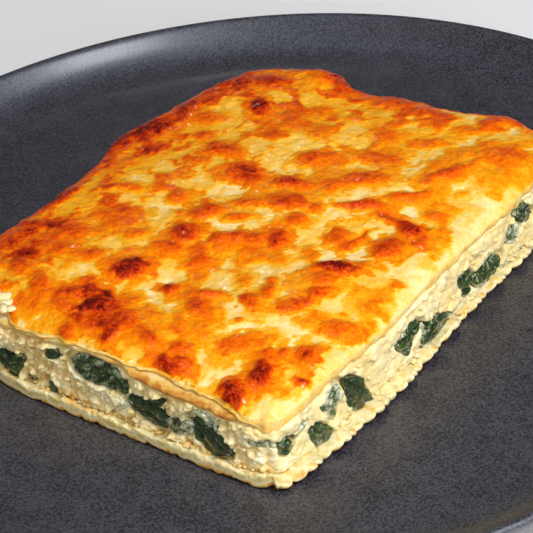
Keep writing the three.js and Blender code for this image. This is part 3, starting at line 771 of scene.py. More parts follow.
# A point on the filling's side, moved outwards by out
def sidePoint(turn, up, out):
    x, y = planPoint(*rimPlace(turn), fillingShape["insets"])
    outX, outY = outwardAt(turn)
    share = np.clip((up - 2) / (fillingTop(x, y) - 2.3), 0, 1)
    reach = sideBulge(turn, share) + out
    return x + outX * reach, y + outY * reach


# The leaves of the sides that are turned away, from the box of each
def hiddenLobes(node, side):
    low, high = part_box(node)
    draw = random.Random(node)
    axis = 0 if side == "far" else 1
    middle, half = (low[axis] + high[axis]) / 2 / mm, (high[axis] - low[axis]) / 2 / mm
    up, tall = (low[2] + high[2]) / 2 / mm - plateFloor, (high[2] - low[2]) / 2 / mm
    lean = draw.choice((-1, 1)) * 0.35 * tall
    line = [(middle - half, up - lean, 0.9, 0), (middle - 0.35 * half, up - 0.3 * lean, 0.75 * tall, 0.2),
            (middle + 0.35 * half, up + 0.3 * lean, 0.7 * tall, 0.2), (middle + half, up + lean, 0.9, 0)]
    return side, [(line, 0.16, 0.35)]


for number in range(20, 29):
    leafName = f"spinach_leaf_{number:02d}"
    leafLobes[leafName] = hiddenLobes(leafName, "far" if number < 24 else "left")


# The middle line of a lobe, smoothed, at shares 0 to 1 of its length
def lobeLine(line, share):
    ends = (0, len(line) - 1)
    points = np.array([(*point, 0 if k in ends else leafShape["lift"])[:4] for k, point in enumerate(line)])
    run = np.concatenate([[0], np.cumsum(np.hypot(*np.diff(points[:, :2], axis=0).T))])
    fine = np.linspace(0, run[-1], 200)
    curve = np.stack([np.interp(fine, run, points[:, c]) for c in range(4)], axis=1)
    soft = np.ones(31) / 31
    padded = np.pad(curve, ((15, 15), (0, 0)), mode="edge")
    curve = np.stack([np.convolve(padded[:, c], soft, mode="valid") for c in range(4)], axis=1)
    return np.stack([np.interp(share * run[-1], fine, curve[:, c]) for c in range(4)], axis=1), run[-1]


# Up to 1 at the middle line of a lobe, 0 at its edge, below 0 outside
def lobeField(line, at, up):
    centre, length = lobeLine(line, np.linspace(0.03, 0.97, 40))
    ratio = np.full(len(at), 9.0)
    for place, height, halfWidth, lift in centre:
        ratio = np.minimum(ratio, np.hypot(at - place, up - height) / halfWidth)
    return np.clip(1 - ratio ** 2, -1, 1)


def makeLobe(side, line, cream, lightness, seed):
    length = lobeLine(line, np.array([0.0]))[1]
    rings = max(14, int(length / leafShape["spacing"]))
    deselectAll()
    bpy.ops.mesh.primitive_uv_sphere_add(segments=leafShape["around"], ring_count=rings, radius=1, location=(0, 0, 0))
    lobe = bpy.context.object
    co = getCoords(lobe)
    angle = np.arctan2(co[:, 1], co[:, 0])
    t = np.clip(np.arccos(np.clip(co[:, 2], -1, 1)) / np.pi, 0, 1)  # even steps from end to end
    centre, length = lobeLine(line, t)
    ahead = lobeLine(line, np.clip(t + 0.02, 0, 1))[0] - lobeLine(line, np.clip(t - 0.02, 0, 1))[0]
    size = np.maximum(1e-6, np.hypot(ahead[:, 0], ahead[:, 1]))
    alongX, alongZ = ahead[:, 0] / size, ahead[:, 1] / size
    taper = np.sqrt(np.clip(1 - np.abs(2 * t - 1) ** 3.5, 0, 1))
    cross, out = np.cos(angle), np.sin(angle)
    shift = seed * 17.3  # each lobe has its own part of the noise
    edge = 1 + leafShape["ragged"] * waver(t * length, np.sign(cross) * 40, shift, 2.4, seed, 2)
    halfWidth = centre[:, 2] * taper * edge
    at = centre[:, 0] - alongZ * cross * halfWidth
    up = centre[:, 1] + alongX * cross * halfWidth
    # folds run along the leaf and wander
    wander = softNoise(t * length, cross * 2, shift, 5, seed + 3) * 5
    folds = np.sin(cross * centre[:, 2] * 2.1 + wander * 2) * 0.5 + waver(at, up, shift, 1.7, seed + 5, 2) * 1.6
    dome = np.abs(out) ** 0.8 * taper
    high = leafShape["proud"] * dome + leafShape["fold"] * folds * np.minimum(1, dome * 2)
    deep = -leafShape["depth"] * dome * np.minimum(1, centre[:, 2] / 2)
    lift = centre[:, 3] * taper
    depth = np.where(out > 0, np.maximum(high, 0.05 * dome) + lift, deep + 0.4 * lift)
    x, y = sidePoint(turnAt(side, at), up, depth - leafShape["inset"])
    setCoords(lobe, x, y, plateFloor + up)
    crests = waver(at, up, shift, 2.2, seed + 8, 2)
    paint(lobe, "cream", cream + leafShape["film"][side] + 0.3 * crests + 0.12 * (1 - dome))
    # painted light and shade: the crests of the folds are painted lighter and their troughs darker
    paint(lobe, "lightness", lightness + 0.25 * folds)
    return lobe


def makeLeaves():
    for number, (node, (side, lobes)) in enumerate(leafLobes.items()):
        made = [makeLobe(side, line, cream, lightness, 20 + 7 * number + k)
                for k, (line, cream, lightness) in enumerate(lobes)]
        leaf = joinPieces(made)
        finishPiece(leaf, "spinachLeaf" + node[-2:], "spinach", materials["spinach"], node)


makeLeaves()
print("spinach folded in")

# Ricotta filling, with a bed for each leaf
def makeFilling():
    counts, sideRows, inward = slab["sideCounts"], fillingShape["rows"], fillingShape["inward"]
    # rows from the middle of the top, down the side and back in below: share of the plan, share of the height
    down = [(1.0, 1 - r / sideRows) for r in range(sideRows + 1)]
    table = np.array([(k, 1.0) for k in reversed(inward)] + down + [(k, 0.0) for k in inward])
    filling = ringBlank(sum(counts), len(table) - 1)
    turn, row, rim = ringPlaces(filling, counts)
    shrink, share = table[row].T
    shrink = shrink * rim
    u, v = rimPlace(turn)
    x, y = planPoint(u * shrink, v * shrink, fillingShape["insets"])
    outX, outY = outwardAt(turn)
    onSide = shrink > 0.999
    up = mix(fillingShape["low"] + np.where(onSide, 0, 0.3), fillingTop(x, y) - 0.3, share)
    px, py = x + outX * 2, y + outY * 2
    relief = 0
    soft = sideShare(turn, 1, 0.06)  # the right side is creamier than the cut one
    for size, height, creamy in fillingShape["curds"]:
        dome, own = curdNoise(px, py, up, size, int(size * 10))
        relief = relief + height * mix(1, creamy, soft) * (dome * (0.35 + 0.65 * own) - 0.4)
    relief = relief + 0.6 * waver(px, py, up, 9, 31) + mix(0.8, 0.35, soft) * waver(px, py, up, 1.5, 33, 2)
    start, end = np.array([sideSpans[name] for name in sideNames]).T
    sideIndex = np.clip(np.floor(turn).astype(int), 0, 3)
    at = mix(start[sideIndex], end[sideIndex], turn - sideIndex)
    bed = np.zeros(len(x))
    for side, lobes in leafLobes.values():
        mine = onSide & (sideIndex == sideNames.index(side))
        for line, cream, lightness in lobes:
            bed[mine] = np.maximum(bed[mine], smooth((lobeField(line, at[mine], up[mine]) + 0.02) / 0.5))
    fade = smooth(share / 0.08) * smooth((1 - share) / 0.06)
    reach = sideBulge(turn, share) + relief * (1 - bed) * (0.35 + 0.65 * fade) - bed * leafShape["depth"] * 0.95
    reach = np.where(onSide, reach, 0)
    x, y = x + outX * reach, y + outY * reach
    setCoords(filling, x, y, plateFloor + up)
    cut = window(turn, 0.0, 1.0, 0.04)
    foot = smooth((6.2 - up) / 3) * cut * window(turn, 0.35, 1.0, 0.1)  # yellow crumbly foot of the cut side
    paintedShadeUnderSheet = smooth((share - 0.62) / 0.25) * cut  # painted shade: the top of the cut side is painted pinkish brown, for the shade under the top sheet
    tone = 0.54 + 0.5 * waver(px, py, up, 4, 51, 3) - 0.3 * foot - 0.2 * paintedShadeUnderSheet
    # painted light and shade: the tops of the curds are painted lighter and the crevices between them darker
    tone = tone + mix(0.4, 0.24, soft) * np.clip(relief, -1.2, 0.8) + 0.05 * soft
    paint(filling, "tone", np.clip(tone, 0, 1))
    stain = 0.12 * bed + 0.2 * smooth((softNoise(px, py, up, 5, 57, 3) - 0.6) / 0.08)
    paint(filling, "greening", np.where(onSide, np.clip(stain, 0, 0.6), 0))
    finishPiece(filling, "ricottaFilling", "ricotta", materials["ricotta"], "ricotta_filling")


makeFilling()
print("ricotta filling spread")

# Top pasta sheet: its cut edge shows along the front
topShape = {
    "thick": 1.5, "insets": (0.4, 2.8, 2.8, 2.8), "counts": (220, 240, 120, 152), "edgeRows": 4, "edgeWidth": 4,
    "sagFrom": 17.6, "sagTo": 49.5, "sag": 0.9, "reach": 0.7,
    "steps": (0, 0.5, 1.2, 2.2, 3.6, 5.5, 8, 12, 20, 34),
}


def makeTopSheet():
    counts = topShape["counts"]
    table = sheetRows(topShape["steps"], topShape["edgeRows"])
    sheet = ringBlank(sum(counts), len(table) - 1)
    turn, row, rim = ringPlaces(sheet, counts)
    inset, depth = table[row].T
    u, v = rimPlace(turn)
    x, y = planPoint(u, v, [side + inset for side in topShape["insets"]])
    outX, outY = outwardAt(turn)
    front = window(turn, 0.0, 1.0, 0.03)
    near = 1 - smooth(inset / topShape["edgeWidth"])
    sag = window(x, topShape["sagFrom"], topShape["sagTo"], 8) * front
    reach = near * front * (1.2 * waver(x, y, 0, 3.5, 71, 2) + topShape["reach"] * sag)
    reach = reach + 0.35 * np.sin(np.pi * depth) * (inset < 0.01)
    low = plateFloor + fillingTop(x, y) - near * sag * topShape["sag"] * smooth((2.5 - inset) / 2.5)
    z = low + topShape["thick"] * (1 - depth) + 0.5 * waver(x, y, 0, 5, 75) * near * (1 - depth)
    midX, midY = slab["middle"]
    middle = plateFloor + float(fillingTop(np.float64(midX), np.float64(midY)))
    setCoords(sheet, mix(midX, x + outX * reach, rim), mix(midY, y + outY * reach, rim),
              np.where(rim > 0, z, np.where(row == 0, middle + topShape["thick"], middle)))
    # painted shade: the front edge and the sagging stretch of the sheet are painted darker golden, for the shade
    # under the crust's edge
    tone = 0.3 + 0.25 * sag * near + 0.25 * front * smooth((1.6 - inset) / 1.6) + 0.4 * waver(x, y, 0, 4, 77, 3)
    paint(sheet, "tone", np.clip(tone, 0, 1))
    finishPiece(sheet, "topPastaSheet", "pasta", materials["pasta"], "top_pasta_sheet")


makeTopSheet()
print("top pasta sheet laid")

# Baked cheese
cheeseShape = {
    "across": 214, "along": 300, "insets": (0.4, 0.4, 0.6, 0.6), "thick": 2.3, "ceiling": 35.4,
    "rimRows": 10, "underSteps": (0.96, 0.86, 0.68, 0.42, 0.2), "hang": 1.7, "rightHang": 0.7,
    "sagFrom": 17.6, "sagTo": 47.4, "recede": 1.5, "nearLeftRecede": 2.2,
    # sizes in mm: blotches, fine mottling, torn edges of the spots, grit, and how far spots are bent
    "blotch": 6, "fine": 2.4, "fray": 2.6, "grit": 1.3, "bend": 2.4, "paleRim": 3.4,
}
# Brown spots: x, y, half length, half width, turn in degrees, browning in hundredths, rise in tenths of a mm
brownSpots = [
    (0.5, -52.8, 10, 6, -15, 79, 3), (-14, -50.4, 3.6, 2.6, 20, 78, 7), (-8.6, -47.6, 4.2, 3, 30, 84, 9),
    (0.4, -49.4, 4.4, 3, -30, 86, 10), (7.3, -52.6, 4.4, 3, -30, 82, 8), (-4.4, -56.6, 3.4, 2.4, -10, 80, 7),
    (-12, -44, 3, 2.2, 30, 74, 5), (-6, -35.2, 4.8, 3.8, 49, 90, 16), (-5, -31.4, 2.6, 1.8, 0, 100, 6),
    (-3.6, -51.3, 4.7, 4, 37, 97, 19), (-3.5, -46.9, 3.6, 2.1, -2, 92, 10), (-5.4, -53.4, 2.6, 1.9, -25, 99, 8),
    (4.8, -55.6, 5, 2.9, -18, 86, 11), (7.8, -59.6, 2.9, 1.8, -3, 80, 8), (5.6, -50.7, 5.3, 3, -17, 74, 8),
    (-12.3, -53.2, 4.2, 3.4, -29, 70, 8), (-4.1, -61.4, 3.2, 2.3, -28, 74, 8),
    (3.1, -45.5, 3.6, 2.8, -19, 62, 5), (10.9, -47.8, 3.5, 2.3, -31, 58, 4), (-1.6, -56.3, 7.4, 3.8, -5, 68, 4),
    (-23, -50.2, 4.6, 2.7, -35, 74, 8), (-19.2, -53.1, 2.9, 2.1, -21, 66, 5),
    (-33.3, -46.6, 3.8, 2.3, -36, 80, 9), (-37.4, -48, 2, 1.4, -13, 62, 4), (-32.2, -54, 1.8, 1.3, -8, 60, 4),
    (18.4, -55.3, 3.2, 2.1, -20, 76, 9), (27, -59.2, 4.9, 2.9, 4, 84, 16), (26.8, -54.7, 3, 2.8, 5, 72, 9),
    (13.9, -54.1, 3.2, 2.3, -33, 66, 5), (47.1, -60.4, 4.5, 3.1, -53, 87, 22),
    (49.8, -52, 4.1, 2.9, -56, 90, 19), (46.6, -46, 3.4, 2.5, 25, 70, 9), (8.5, -36.5, 2.8, 1.9, -7, 84, 12),
    (21.1, -39.7, 5.3, 2.7, -18, 74, 9), (19.8, -34.5, 5.2, 2.1, 20, 72, 12),
    (20.5, -46.6, 4.8, 1.4, -37, 58, 5), (-3.7, -15.5, 3.9, 3.4, 64, 84, 12),
    (-2.6, -22.6, 4.2, 2.5, -4, 74, 8), (7.8, -23.2, 3.1, 3, -64, 76, 9), (7.1, -14.1, 3.2, 2.1, -43, 78, 10),
    (10.6, -11.1, 3.2, 2.9, 1, 76, 9), (20.3, -6.8, 4.5, 3, -45, 84, 12), (16.1, -8.9, 3.2, 2.3, 17, 74, 6),
    (31, -32.1, 2.8, 2.2, -12, 78, 10), (32.8, -27, 3.2, 2, -48, 70, 8), (30, -22.4, 1.8, 1.5, -33, 66, 6),
    (23.9, -25.2, 3.9, 2.1, -48, 54, 3), (32.6, -39.2, 1, 0.7, 20, 68, 5), (36.7, -47.7, 4.6, 3.3, 58, 70, 8),
    (41.4, -43.1, 4.3, 3.1, 48, 60, 6), (56.5, -58.6, 4.1, 3.3, -26, 60, 9), (56.8, -54, 1.8, 1.2, -50, 56, 3),
    (49.2, -43.3, 1.8, 1.6, 17, 72, 6), (39.8, -29.7, 2, 1.8, -20, 68, 5), (-28.6, -36.9, 5.4, 3.3, 12, 70, 6),
    (-36.5, -37.7, 5.2, 3.6, -12, 66, 5), (-45.2, -36.9, 6.9, 3.6, -36, 78, 6),
    (-43.8, -30.5, 5, 2.9, 4, 80, 5), (-32.5, -29.8, 4.6, 2.8, 12, 70, 5), (-20.2, -34.7, 3.3, 1.8, 19, 62, 4),
    (-21.6, -20.2, 3.4, 2.2, 14, 64, 4), (-24.7, -26.3, 3.4, 2, 16, 56, 3), (-14.2, -21.6, 2.7, 1.7, 45, 62, 4),
    (-11, -28.7, 2.3, 1.2, 21, 60, 3), (26.2, -46.2, 3.8, 2.2, -72, 54, 4), (-52.9, 15.9, 8.3, 4.8, -82, 86, 3),
    (-49.4, 24.9, 7.2, 5.9, 43, 90, 4), (-46.2, 36.2, 7.3, 4.3, -67, 84, 3),
    (-45.7, 43.3, 5.2, 3.8, -62, 74, 3), (-50, 7.4, 9, 2.8, -39, 72, 3), (-44.4, 53.1, 4, 2.7, 31, 86, 3),
    (-32.6, 58.1, 7.6, 3.8, 8, 84, 5), (-25.8, 44.6, 5.3, 3, -40, 88, 13), (-37.3, 34.3, 6.1, 3.2, 13, 66, 4),
    (-20.7, 22, 5.3, 3, -6, 78, 9), (-30.6, 26.2, 3.4, 2.7, 18, 72, 5), (-7, 14.9, 5.7, 3.8, -9, 84, 11),
    (-25.5, 3.4, 2.2, 1.4, 14, 74, 5), (-16.4, -2.7, 2.7, 2, -35, 72, 9), (-4.5, -4.3, 3.4, 3, -32, 80, 14),
    (-11.3, -8.2, 1.7, 1.4, -17, 62, 3), (-3.1, -15.5, 4.5, 3.6, 40, 82, 12),
    (-2.1, -22.4, 3.4, 2.8, -16, 76, 8), (7.3, 16.4, 4.7, 2.7, 3, 82, 12), (12.6, 8.1, 4.3, 3, 18, 80, 12),
    (2.6, 2.6, 5, 1.8, 16, 68, 6), (4.2, -3.7, 4.3, 1.9, 25, 70, 6), (19.7, 2.6, 3, 2.3, -16, 72, 8),
    (7.7, -13.2, 4, 2.6, 20, 76, 9), (14, -9.5, 4.1, 2.4, 23, 74, 8), (6.1, -21.1, 4.3, 3, -40, 72, 8),
    (20, 9, 2, 1.5, -39, 70, 5), (5.3, 29.8, 4.8, 2.9, 44, 74, 8), (-11.3, 42.8, 4.3, 3.6, -19, 66, 4),
    (-32.1, -4.7, 5.2, 2.2, 19, 62, 4), (-22.3, -19.4, 5.2, 3.6, 50, 70, 6),
    (-14.3, -22.4, 3.1, 2.3, 62, 66, 5), (-28.7, -18.5, 4.2, 2.9, 41, 66, 4), (-41.9, 6.7, 3.8, 2.1, 6, 62, 3),
    (-31.4, -28.3, 5.8, 3.1, -40, 74, 5), (-19.2, -35, 4.9, 2.5, 21, 72, 5),
    (-20.9, 67.7, 7.3, 5.6, -19, 58, 16), (-12.4, 68.7, 4.5, 2.3, -36, 80, 5),
    (-29.6, 60.2, 4.5, 3.7, -19, 80, 4), (-13, 43.3, 4.8, 3.3, -44, 68, 5), (4.9, 66.4, 6.1, 3.7, 31, 76, 6),
    (16.1, 66.7, 4.4, 2.7, -26, 74, 5), (13.4, 49.8, 4.4, 3.7, -35, 66, 4), (-9.2, 51.9, 3.4, 2.8, 13, 62, 4),
    (-3, 41.7, 3.4, 2.6, 15, 64, 4), (1.6, 53, 3.3, 2.1, 25, 58, 3), (27.6, 51, 6.4, 2.6, 29, 62, 4),
    (20.5, 38.8, 7.2, 3.2, 16, 70, 6), (22.8, 27.4, 6.3, 3.2, 37, 74, 8), (16.6, 20.7, 4.3, 3.3, 15, 68, 6),
    (19.7, 9.4, 2, 1.7, -26, 72, 6), (32.7, 2, 4.4, 2.9, -49, 74, 12), (37.6, 1.8, 4.5, 1.9, 85, 72, 8),
    (41, 39.8, 7.2, 2.6, 60, 78, 10), (30.6, 17.4, 5.7, 1.9, 34, 78, 12), (37.4, 25.8, 6.3, 1.9, 46, 70, 10),
    (37.6, 16.3, 2.7, 1.8, -2, 80, 5), (45.6, 13.9, 6.1, 2.4, -22, 84, 15), (52.1, 9.8, 2.6, 1.8, -4, 72, 8),
    (46.4, 4, 4.9, 4.1, 83, 78, 16), (48.7, 22.9, 4.3, 2.3, -16, 62, 10), (53.9, 18.8, 2, 1.6, -62, 56, 4),
    (59.9, 17.8, 6.1, 2.5, -22, 56, 8), (60, 27.7, 3.9, 1.3, -63, 50, 4), (48.5, 34.3, 1.8, 1.4, 2, 48, 3),
    (48.4, 53.2, 7.9, 3.9, 23, 64, 8), (48.7, 57.6, 4.9, 2.7, 10, 70, 5), (52.9, 46.2, 6.8, 5.1, 41, 48, 3),
    (59.9, 39.1, 3.2, 2.4, -68, 62, 6), (35.8, 69.6, 7, 3.1, 83, 74, 9), (39.7, 75.6, 4.6, 2.5, -29, 56, 6),
    (30.9, 61.4, 3.3, 3.2, -24, 60, 4), (58.5, -40.9, 6.3, 4.5, -19, 66, 12),
    (54.5, -41.4, 2.7, 2.4, -45, 78, 6), (61.3, -44.8, 3.8, 2.1, -11, 72, 5),
    (59.1, -48.9, 2.4, 1.2, 15, 80, 10), (55.1, -28.7, 4.4, 3, 14, 66, 9), (49.1, -31.2, 3.5, 2, 13, 50, 4),
    (61.9, -25.6, 3, 1.3, -25, 66, 6), (56.9, -18, 4.5, 2.3, 11, 54, 5), (58.3, -7.3, 3.5, 2.6, -44, 56, 7),
    (41.2, -10.3, 5.4, 2.5, 25, 93, 18), (45.9, -6.4, 1.8, 1.5, 30, 64, 5), (41.4, -15.7, 3.4, 2.7, 25, 68, 8),
    (43.9, -20.8, 3.1, 1.9, 31, 80, 12), (41.4, -27.3, 4.2, 2.3, 61, 76, 10), (46.1, 14, 4.4, 2.5, -27, 80, 8),
    (56.6, 11.1, 2.4, 0.5, -1, 52, 3), (60.7, 4, 2.2, 1.2, -58, 44, 3), (52.9, -23.3, 1.2, 0.8, 37, 50, 2),
    (30.9, -7.8, 3.4, 2.9, -61, 56, 4), (18.5, -17, 3.2, 2.4, 12, 40, 2), (25.8, -13.2, 2.5, 2.1, 8, 58, 4),
    (62, -18.7, 2.4, 0.7, -64, 50, 3),
]
# Pale patches: x, y, half length, half width, turn, browning in hundredths
paleSpots = [
    (2.9, -31, 5.5, 4, 45, 12), (-16, -26.9, 4.6, 2.5, 44, 15), (18.5, -27.7, 4.7, 3.7, 10, 10),
    (27, -36.5, 3.7, 2.7, -39, 10), (37, -56.9, 3.6, 3.2, -13, 12), (2.9, -63.1, 10.2, 1.5, 2, 14),
    (15.4, -61.1, 4.6, 1.4, 4, 14), (52.6, -64.8, 4.4, 3.1, 8, 13), (20.8, -52.8, 3.1, 2.2, 12, 22),
    (54.3, -48.1, 3.3, 2.7, -46, 12), (48.4, -23.8, 4.4, 2.7, 33, 13), (27, -0.9, 4.6, 2.8, -49, 10),
    (20.3, -26.8, 4.6, 2.4, 24, 12), (50.4, -8.8, 4.4, 4, 37, 10), (57.1, 1.3, 5.5, 4.4, -64, 12),
    (36.7, -35.7, 7.1, 1.4, 22, 13), (61.2, -52.8, 3.9, 2.6, -45, 14), (61.6, -13.8, 3.1, 2.8, 84, 12),
    (-14.1, -12, 4.6, 4, -77, 14), (-17.3, -29.4, 4.6, 2.5, 44, 15), (-32.2, 0.4, 5.2, 2.3, 19, 18),
    (-30.2, 8.1, 3.4, 2.4, -33, 16), (-28.7, -9.5, 2.6, 1.5, -82, 18), (-16.1, 4.6, 8, 2.1, 17, 16),
    (-13.6, 27.7, 4.9, 4, -28, 18), (0.5, 24.5, 4.4, 3.7, -4, 16), (25.4, -1.7, 5.1, 3.8, -42, 13),
    (-24, 52, 3.5, 2.6, 13, 22), (-15.8, 55.6, 4.2, 3, -45, 22), (3.9, 41.6, 2.8, 2.1, 16, 18),
    (17.4, 33.1, 4.3, 2.6, 23, 16), (28.8, 45.5, 3.8, 3.5, 1, 18), (6.4, 58.6, 2.3, 2.1, -8, 24),
    (22, 55.4, 3.3, 2.1, 27, 24), (51, 33.1, 4.4, 3.5, 40, 12), (56.9, 27.9, 5, 3.5, -62, 10),
    (42.2, 64.6, 6.4, 3.9, 34, 14), (30.8, 27.9, 4.7, 1.8, 39, 15), (33.9, 8.3, 2.8, 2.5, -29, 14),
    (46.9, 19, 3.2, 2.8, -54, 16),
]
# Share of the crust that is paler than each browning
crustShares = [
    (0, 0.1), (0.03, 0.16), (0.07, 0.21), (0.15, 0.28), (0.25, 0.345), (0.35, 0.4), (0.45, 0.445), (0.55, 0.49),
    (0.65, 0.54), (0.75, 0.595), (0.85, 0.67), (0.93, 0.765), (0.97, 0.84), (0.99, 0.92), (1, 1),
]
# Folds in the crust: points along each, then half width, depth, browning and green tint
folds = [
    ([(36.2, 2), (36.9, 5.8), (37.4, 9.6)], 0.7, 0.8, 0.75, 0.1),
    ([(36.5, 16.1), (39.7, 16.9), (44.4, 17.3), (48.9, 16.6)], 0.8, 1.3, 0.8, 0.5),
    ([(51.4, 1.9), (52.5, 7.3), (55.2, 11.3), (58.4, 10.6)], 0.8, 0.7, 0.5, 0),
    ([(56.6, -57), (58.6, -46), (59.4, -36), (60, -24)], 0.7, 0.5, 0.28, 0.06),
]


def spotDistance(x, y, spot):
    turn = math.radians(spot[4])
    along = ((x - spot[0]) * math.cos(turn) + (y - spot[1]) * math.sin(turn)) / spot[2]
    across = ((y - spot[1]) * math.cos(turn) - (x - spot[0]) * math.sin(turn)) / spot[3]
    return np.hypot(along, across)


# Distance in mm from a line of points
def lineDistance(x, y, points):
    best = np.full(np.shape(x), 99.0)
    for (ax, ay), (bx, by) in zip(points, points[1:]):
        t = np.clip(((x - ax) * (bx - ax) + (y - ay) * (by - ay)) / ((bx - ax) ** 2 + (by - ay) ** 2), 0, 1)
        best = np.minimum(best, np.hypot(x - mix(ax, bx, t), y - mix(ay, by, t)))
    return best


# Browning 0 to 1, with painted shade on the far and left rims; rise in mm and green tint of the crust
def crust(x, y, rim):
    wx = x + cheeseShape["bend"] * waver(x, y, 0, 4.5, 101, 2)
    wy = y + cheeseShape["bend"] * waver(x, y, 0, 4.5, 111, 2)
    farLeft = np.maximum(smooth((-x - 6) / 38), 0.8 * smooth((0.8 * y - x + 5) / 80))
    blotch = waver(wx, wy * 0.85, 0, cheeseShape["blotch"], 121, 4)
    fine = waver(wx, wy, 30, cheeseShape["fine"], 131, 4)
    level = 0.28 + 0.3 * farLeft - 0.05 * smooth((x - 24) / 18) - 0.1 * smooth((-54 - y) / 6)
    crisp = 0.015 + 0.03 * farLeft
    level = level + 0.13 * np.tanh((blotch + 0.3 * fine) / crisp) + 0.5 * blotch + 0.4 * fine
    bumps = 0.8 * blotch + 0.35 * waver(x, y, 0, 3, 143, 2)
    frayed = 0.8 * waver(x, y, 0, cheeseShape["fray"], 151, 4)
    for spot in paleSpots:
        mask = smooth((1.2 - spotDistance(wx, wy, spot) - frayed) / 0.35)
        level = mix(level, spot[5] / 100 + 0.3 * blotch + 0.2 * fine, mask * 0.85)
    grit = 0.22 * waver(x, y, 5, cheeseShape["grit"], 161, 2)
    lifted = 0
    for spot in brownSpots:
        browning, rise = spot[5] / 100, spot[6] / 10
        distance = spotDistance(wx, wy, spot) + frayed
        halo = smooth((1.7 - distance - 2.4 * fine) / 0.24) * min(1, 1.6 * browning - 0.35)
        level = np.maximum(level, mix(level, 0.3 + 0.32 * browning + 0.4 * fine, halo))
        mask = smooth((1.12 - distance) / 0.16)
        target = browning * (1 - 0.2 * np.clip(distance, 0, 1) ** 2) + 0.08 * fine + grit
        level = np.where(target > level, mix(level, target, mask), level)
        lifted = lifted + (rise * np.exp(-np.clip(distance, 0, 3) ** 2.6)) ** 3
    rise = bumps + lifted ** (1 / 3)
    green = 0
    for points, halfWidth, depth, browning, tint in folds:
        distance = lineDistance(wx, wy, points) / halfWidth
        rise = rise - depth * np.exp(-distance ** 2) + 0.25 * depth * np.exp(-(distance - 2.4) ** 2)
        level = np.maximum(level, browning * np.exp(-(distance / 1.3) ** 2))
        green = np.maximum(green, tint * np.exp(-(distance / 1.1) ** 2))
    # the levels are spread as on the real crust, from pale pools to dark blisters
    order = np.argsort(np.argsort(level)) / (len(level) - 1)
    level = np.interp(order, *np.array(crustShares).T)
    # the right rim is pale; the far and left rims are painted darker, as browner crust and as painted shade on the
    # side away from the light
    fromRight = rightEdge(y) - x + 6 * fine + 9 * blotch
    fromCorner = np.hypot(x - 60, y + 62) + 8 * fine
    paleRim = smooth((cheeseShape["paleRim"] - fromRight) / 1.6) * smooth((50 - y) / 12)
    paleRim = np.maximum(paleRim, smooth((8 - fromCorner) / 3))
    level = mix(level, 0.1 + 0.3 * np.maximum(0, fine), 0.85 * paleRim)
    farOrLeft = np.maximum(smooth((-30 - x) / 12), smooth((y - 55) / 10))
    brownAndShadedRim = smooth((rim + 0.5 * blotch - 0.84) / 0.12) * farOrLeft * smooth((50 - x) / 12)
    level = np.maximum(level, mix(level, 0.66 + 0.5 * fine, brownAndShadedRim))
    return level, rise, green


# How far the hem of the crust hangs down
def cheeseDrape(x, y):
    side = smooth((np.abs(x - 4) - 42) / 12) + smooth((y - 54) / 12)
    run = cheeseShape["hang"] + cheeseShape["rightHang"] * smooth((x - 50) / 8)
    cut = np.maximum(smooth((y + 58) / 6), smooth((x - 46) / 8))  # the cut edge hangs only at its right end
    corner = 0.9 * np.exp(-((x - 60) ** 2 + (y + 60) ** 2) / 90)
    return (run * np.minimum(1, side) + corner) * cut * (1 + 0.3 * np.sin((x + y) / 5))


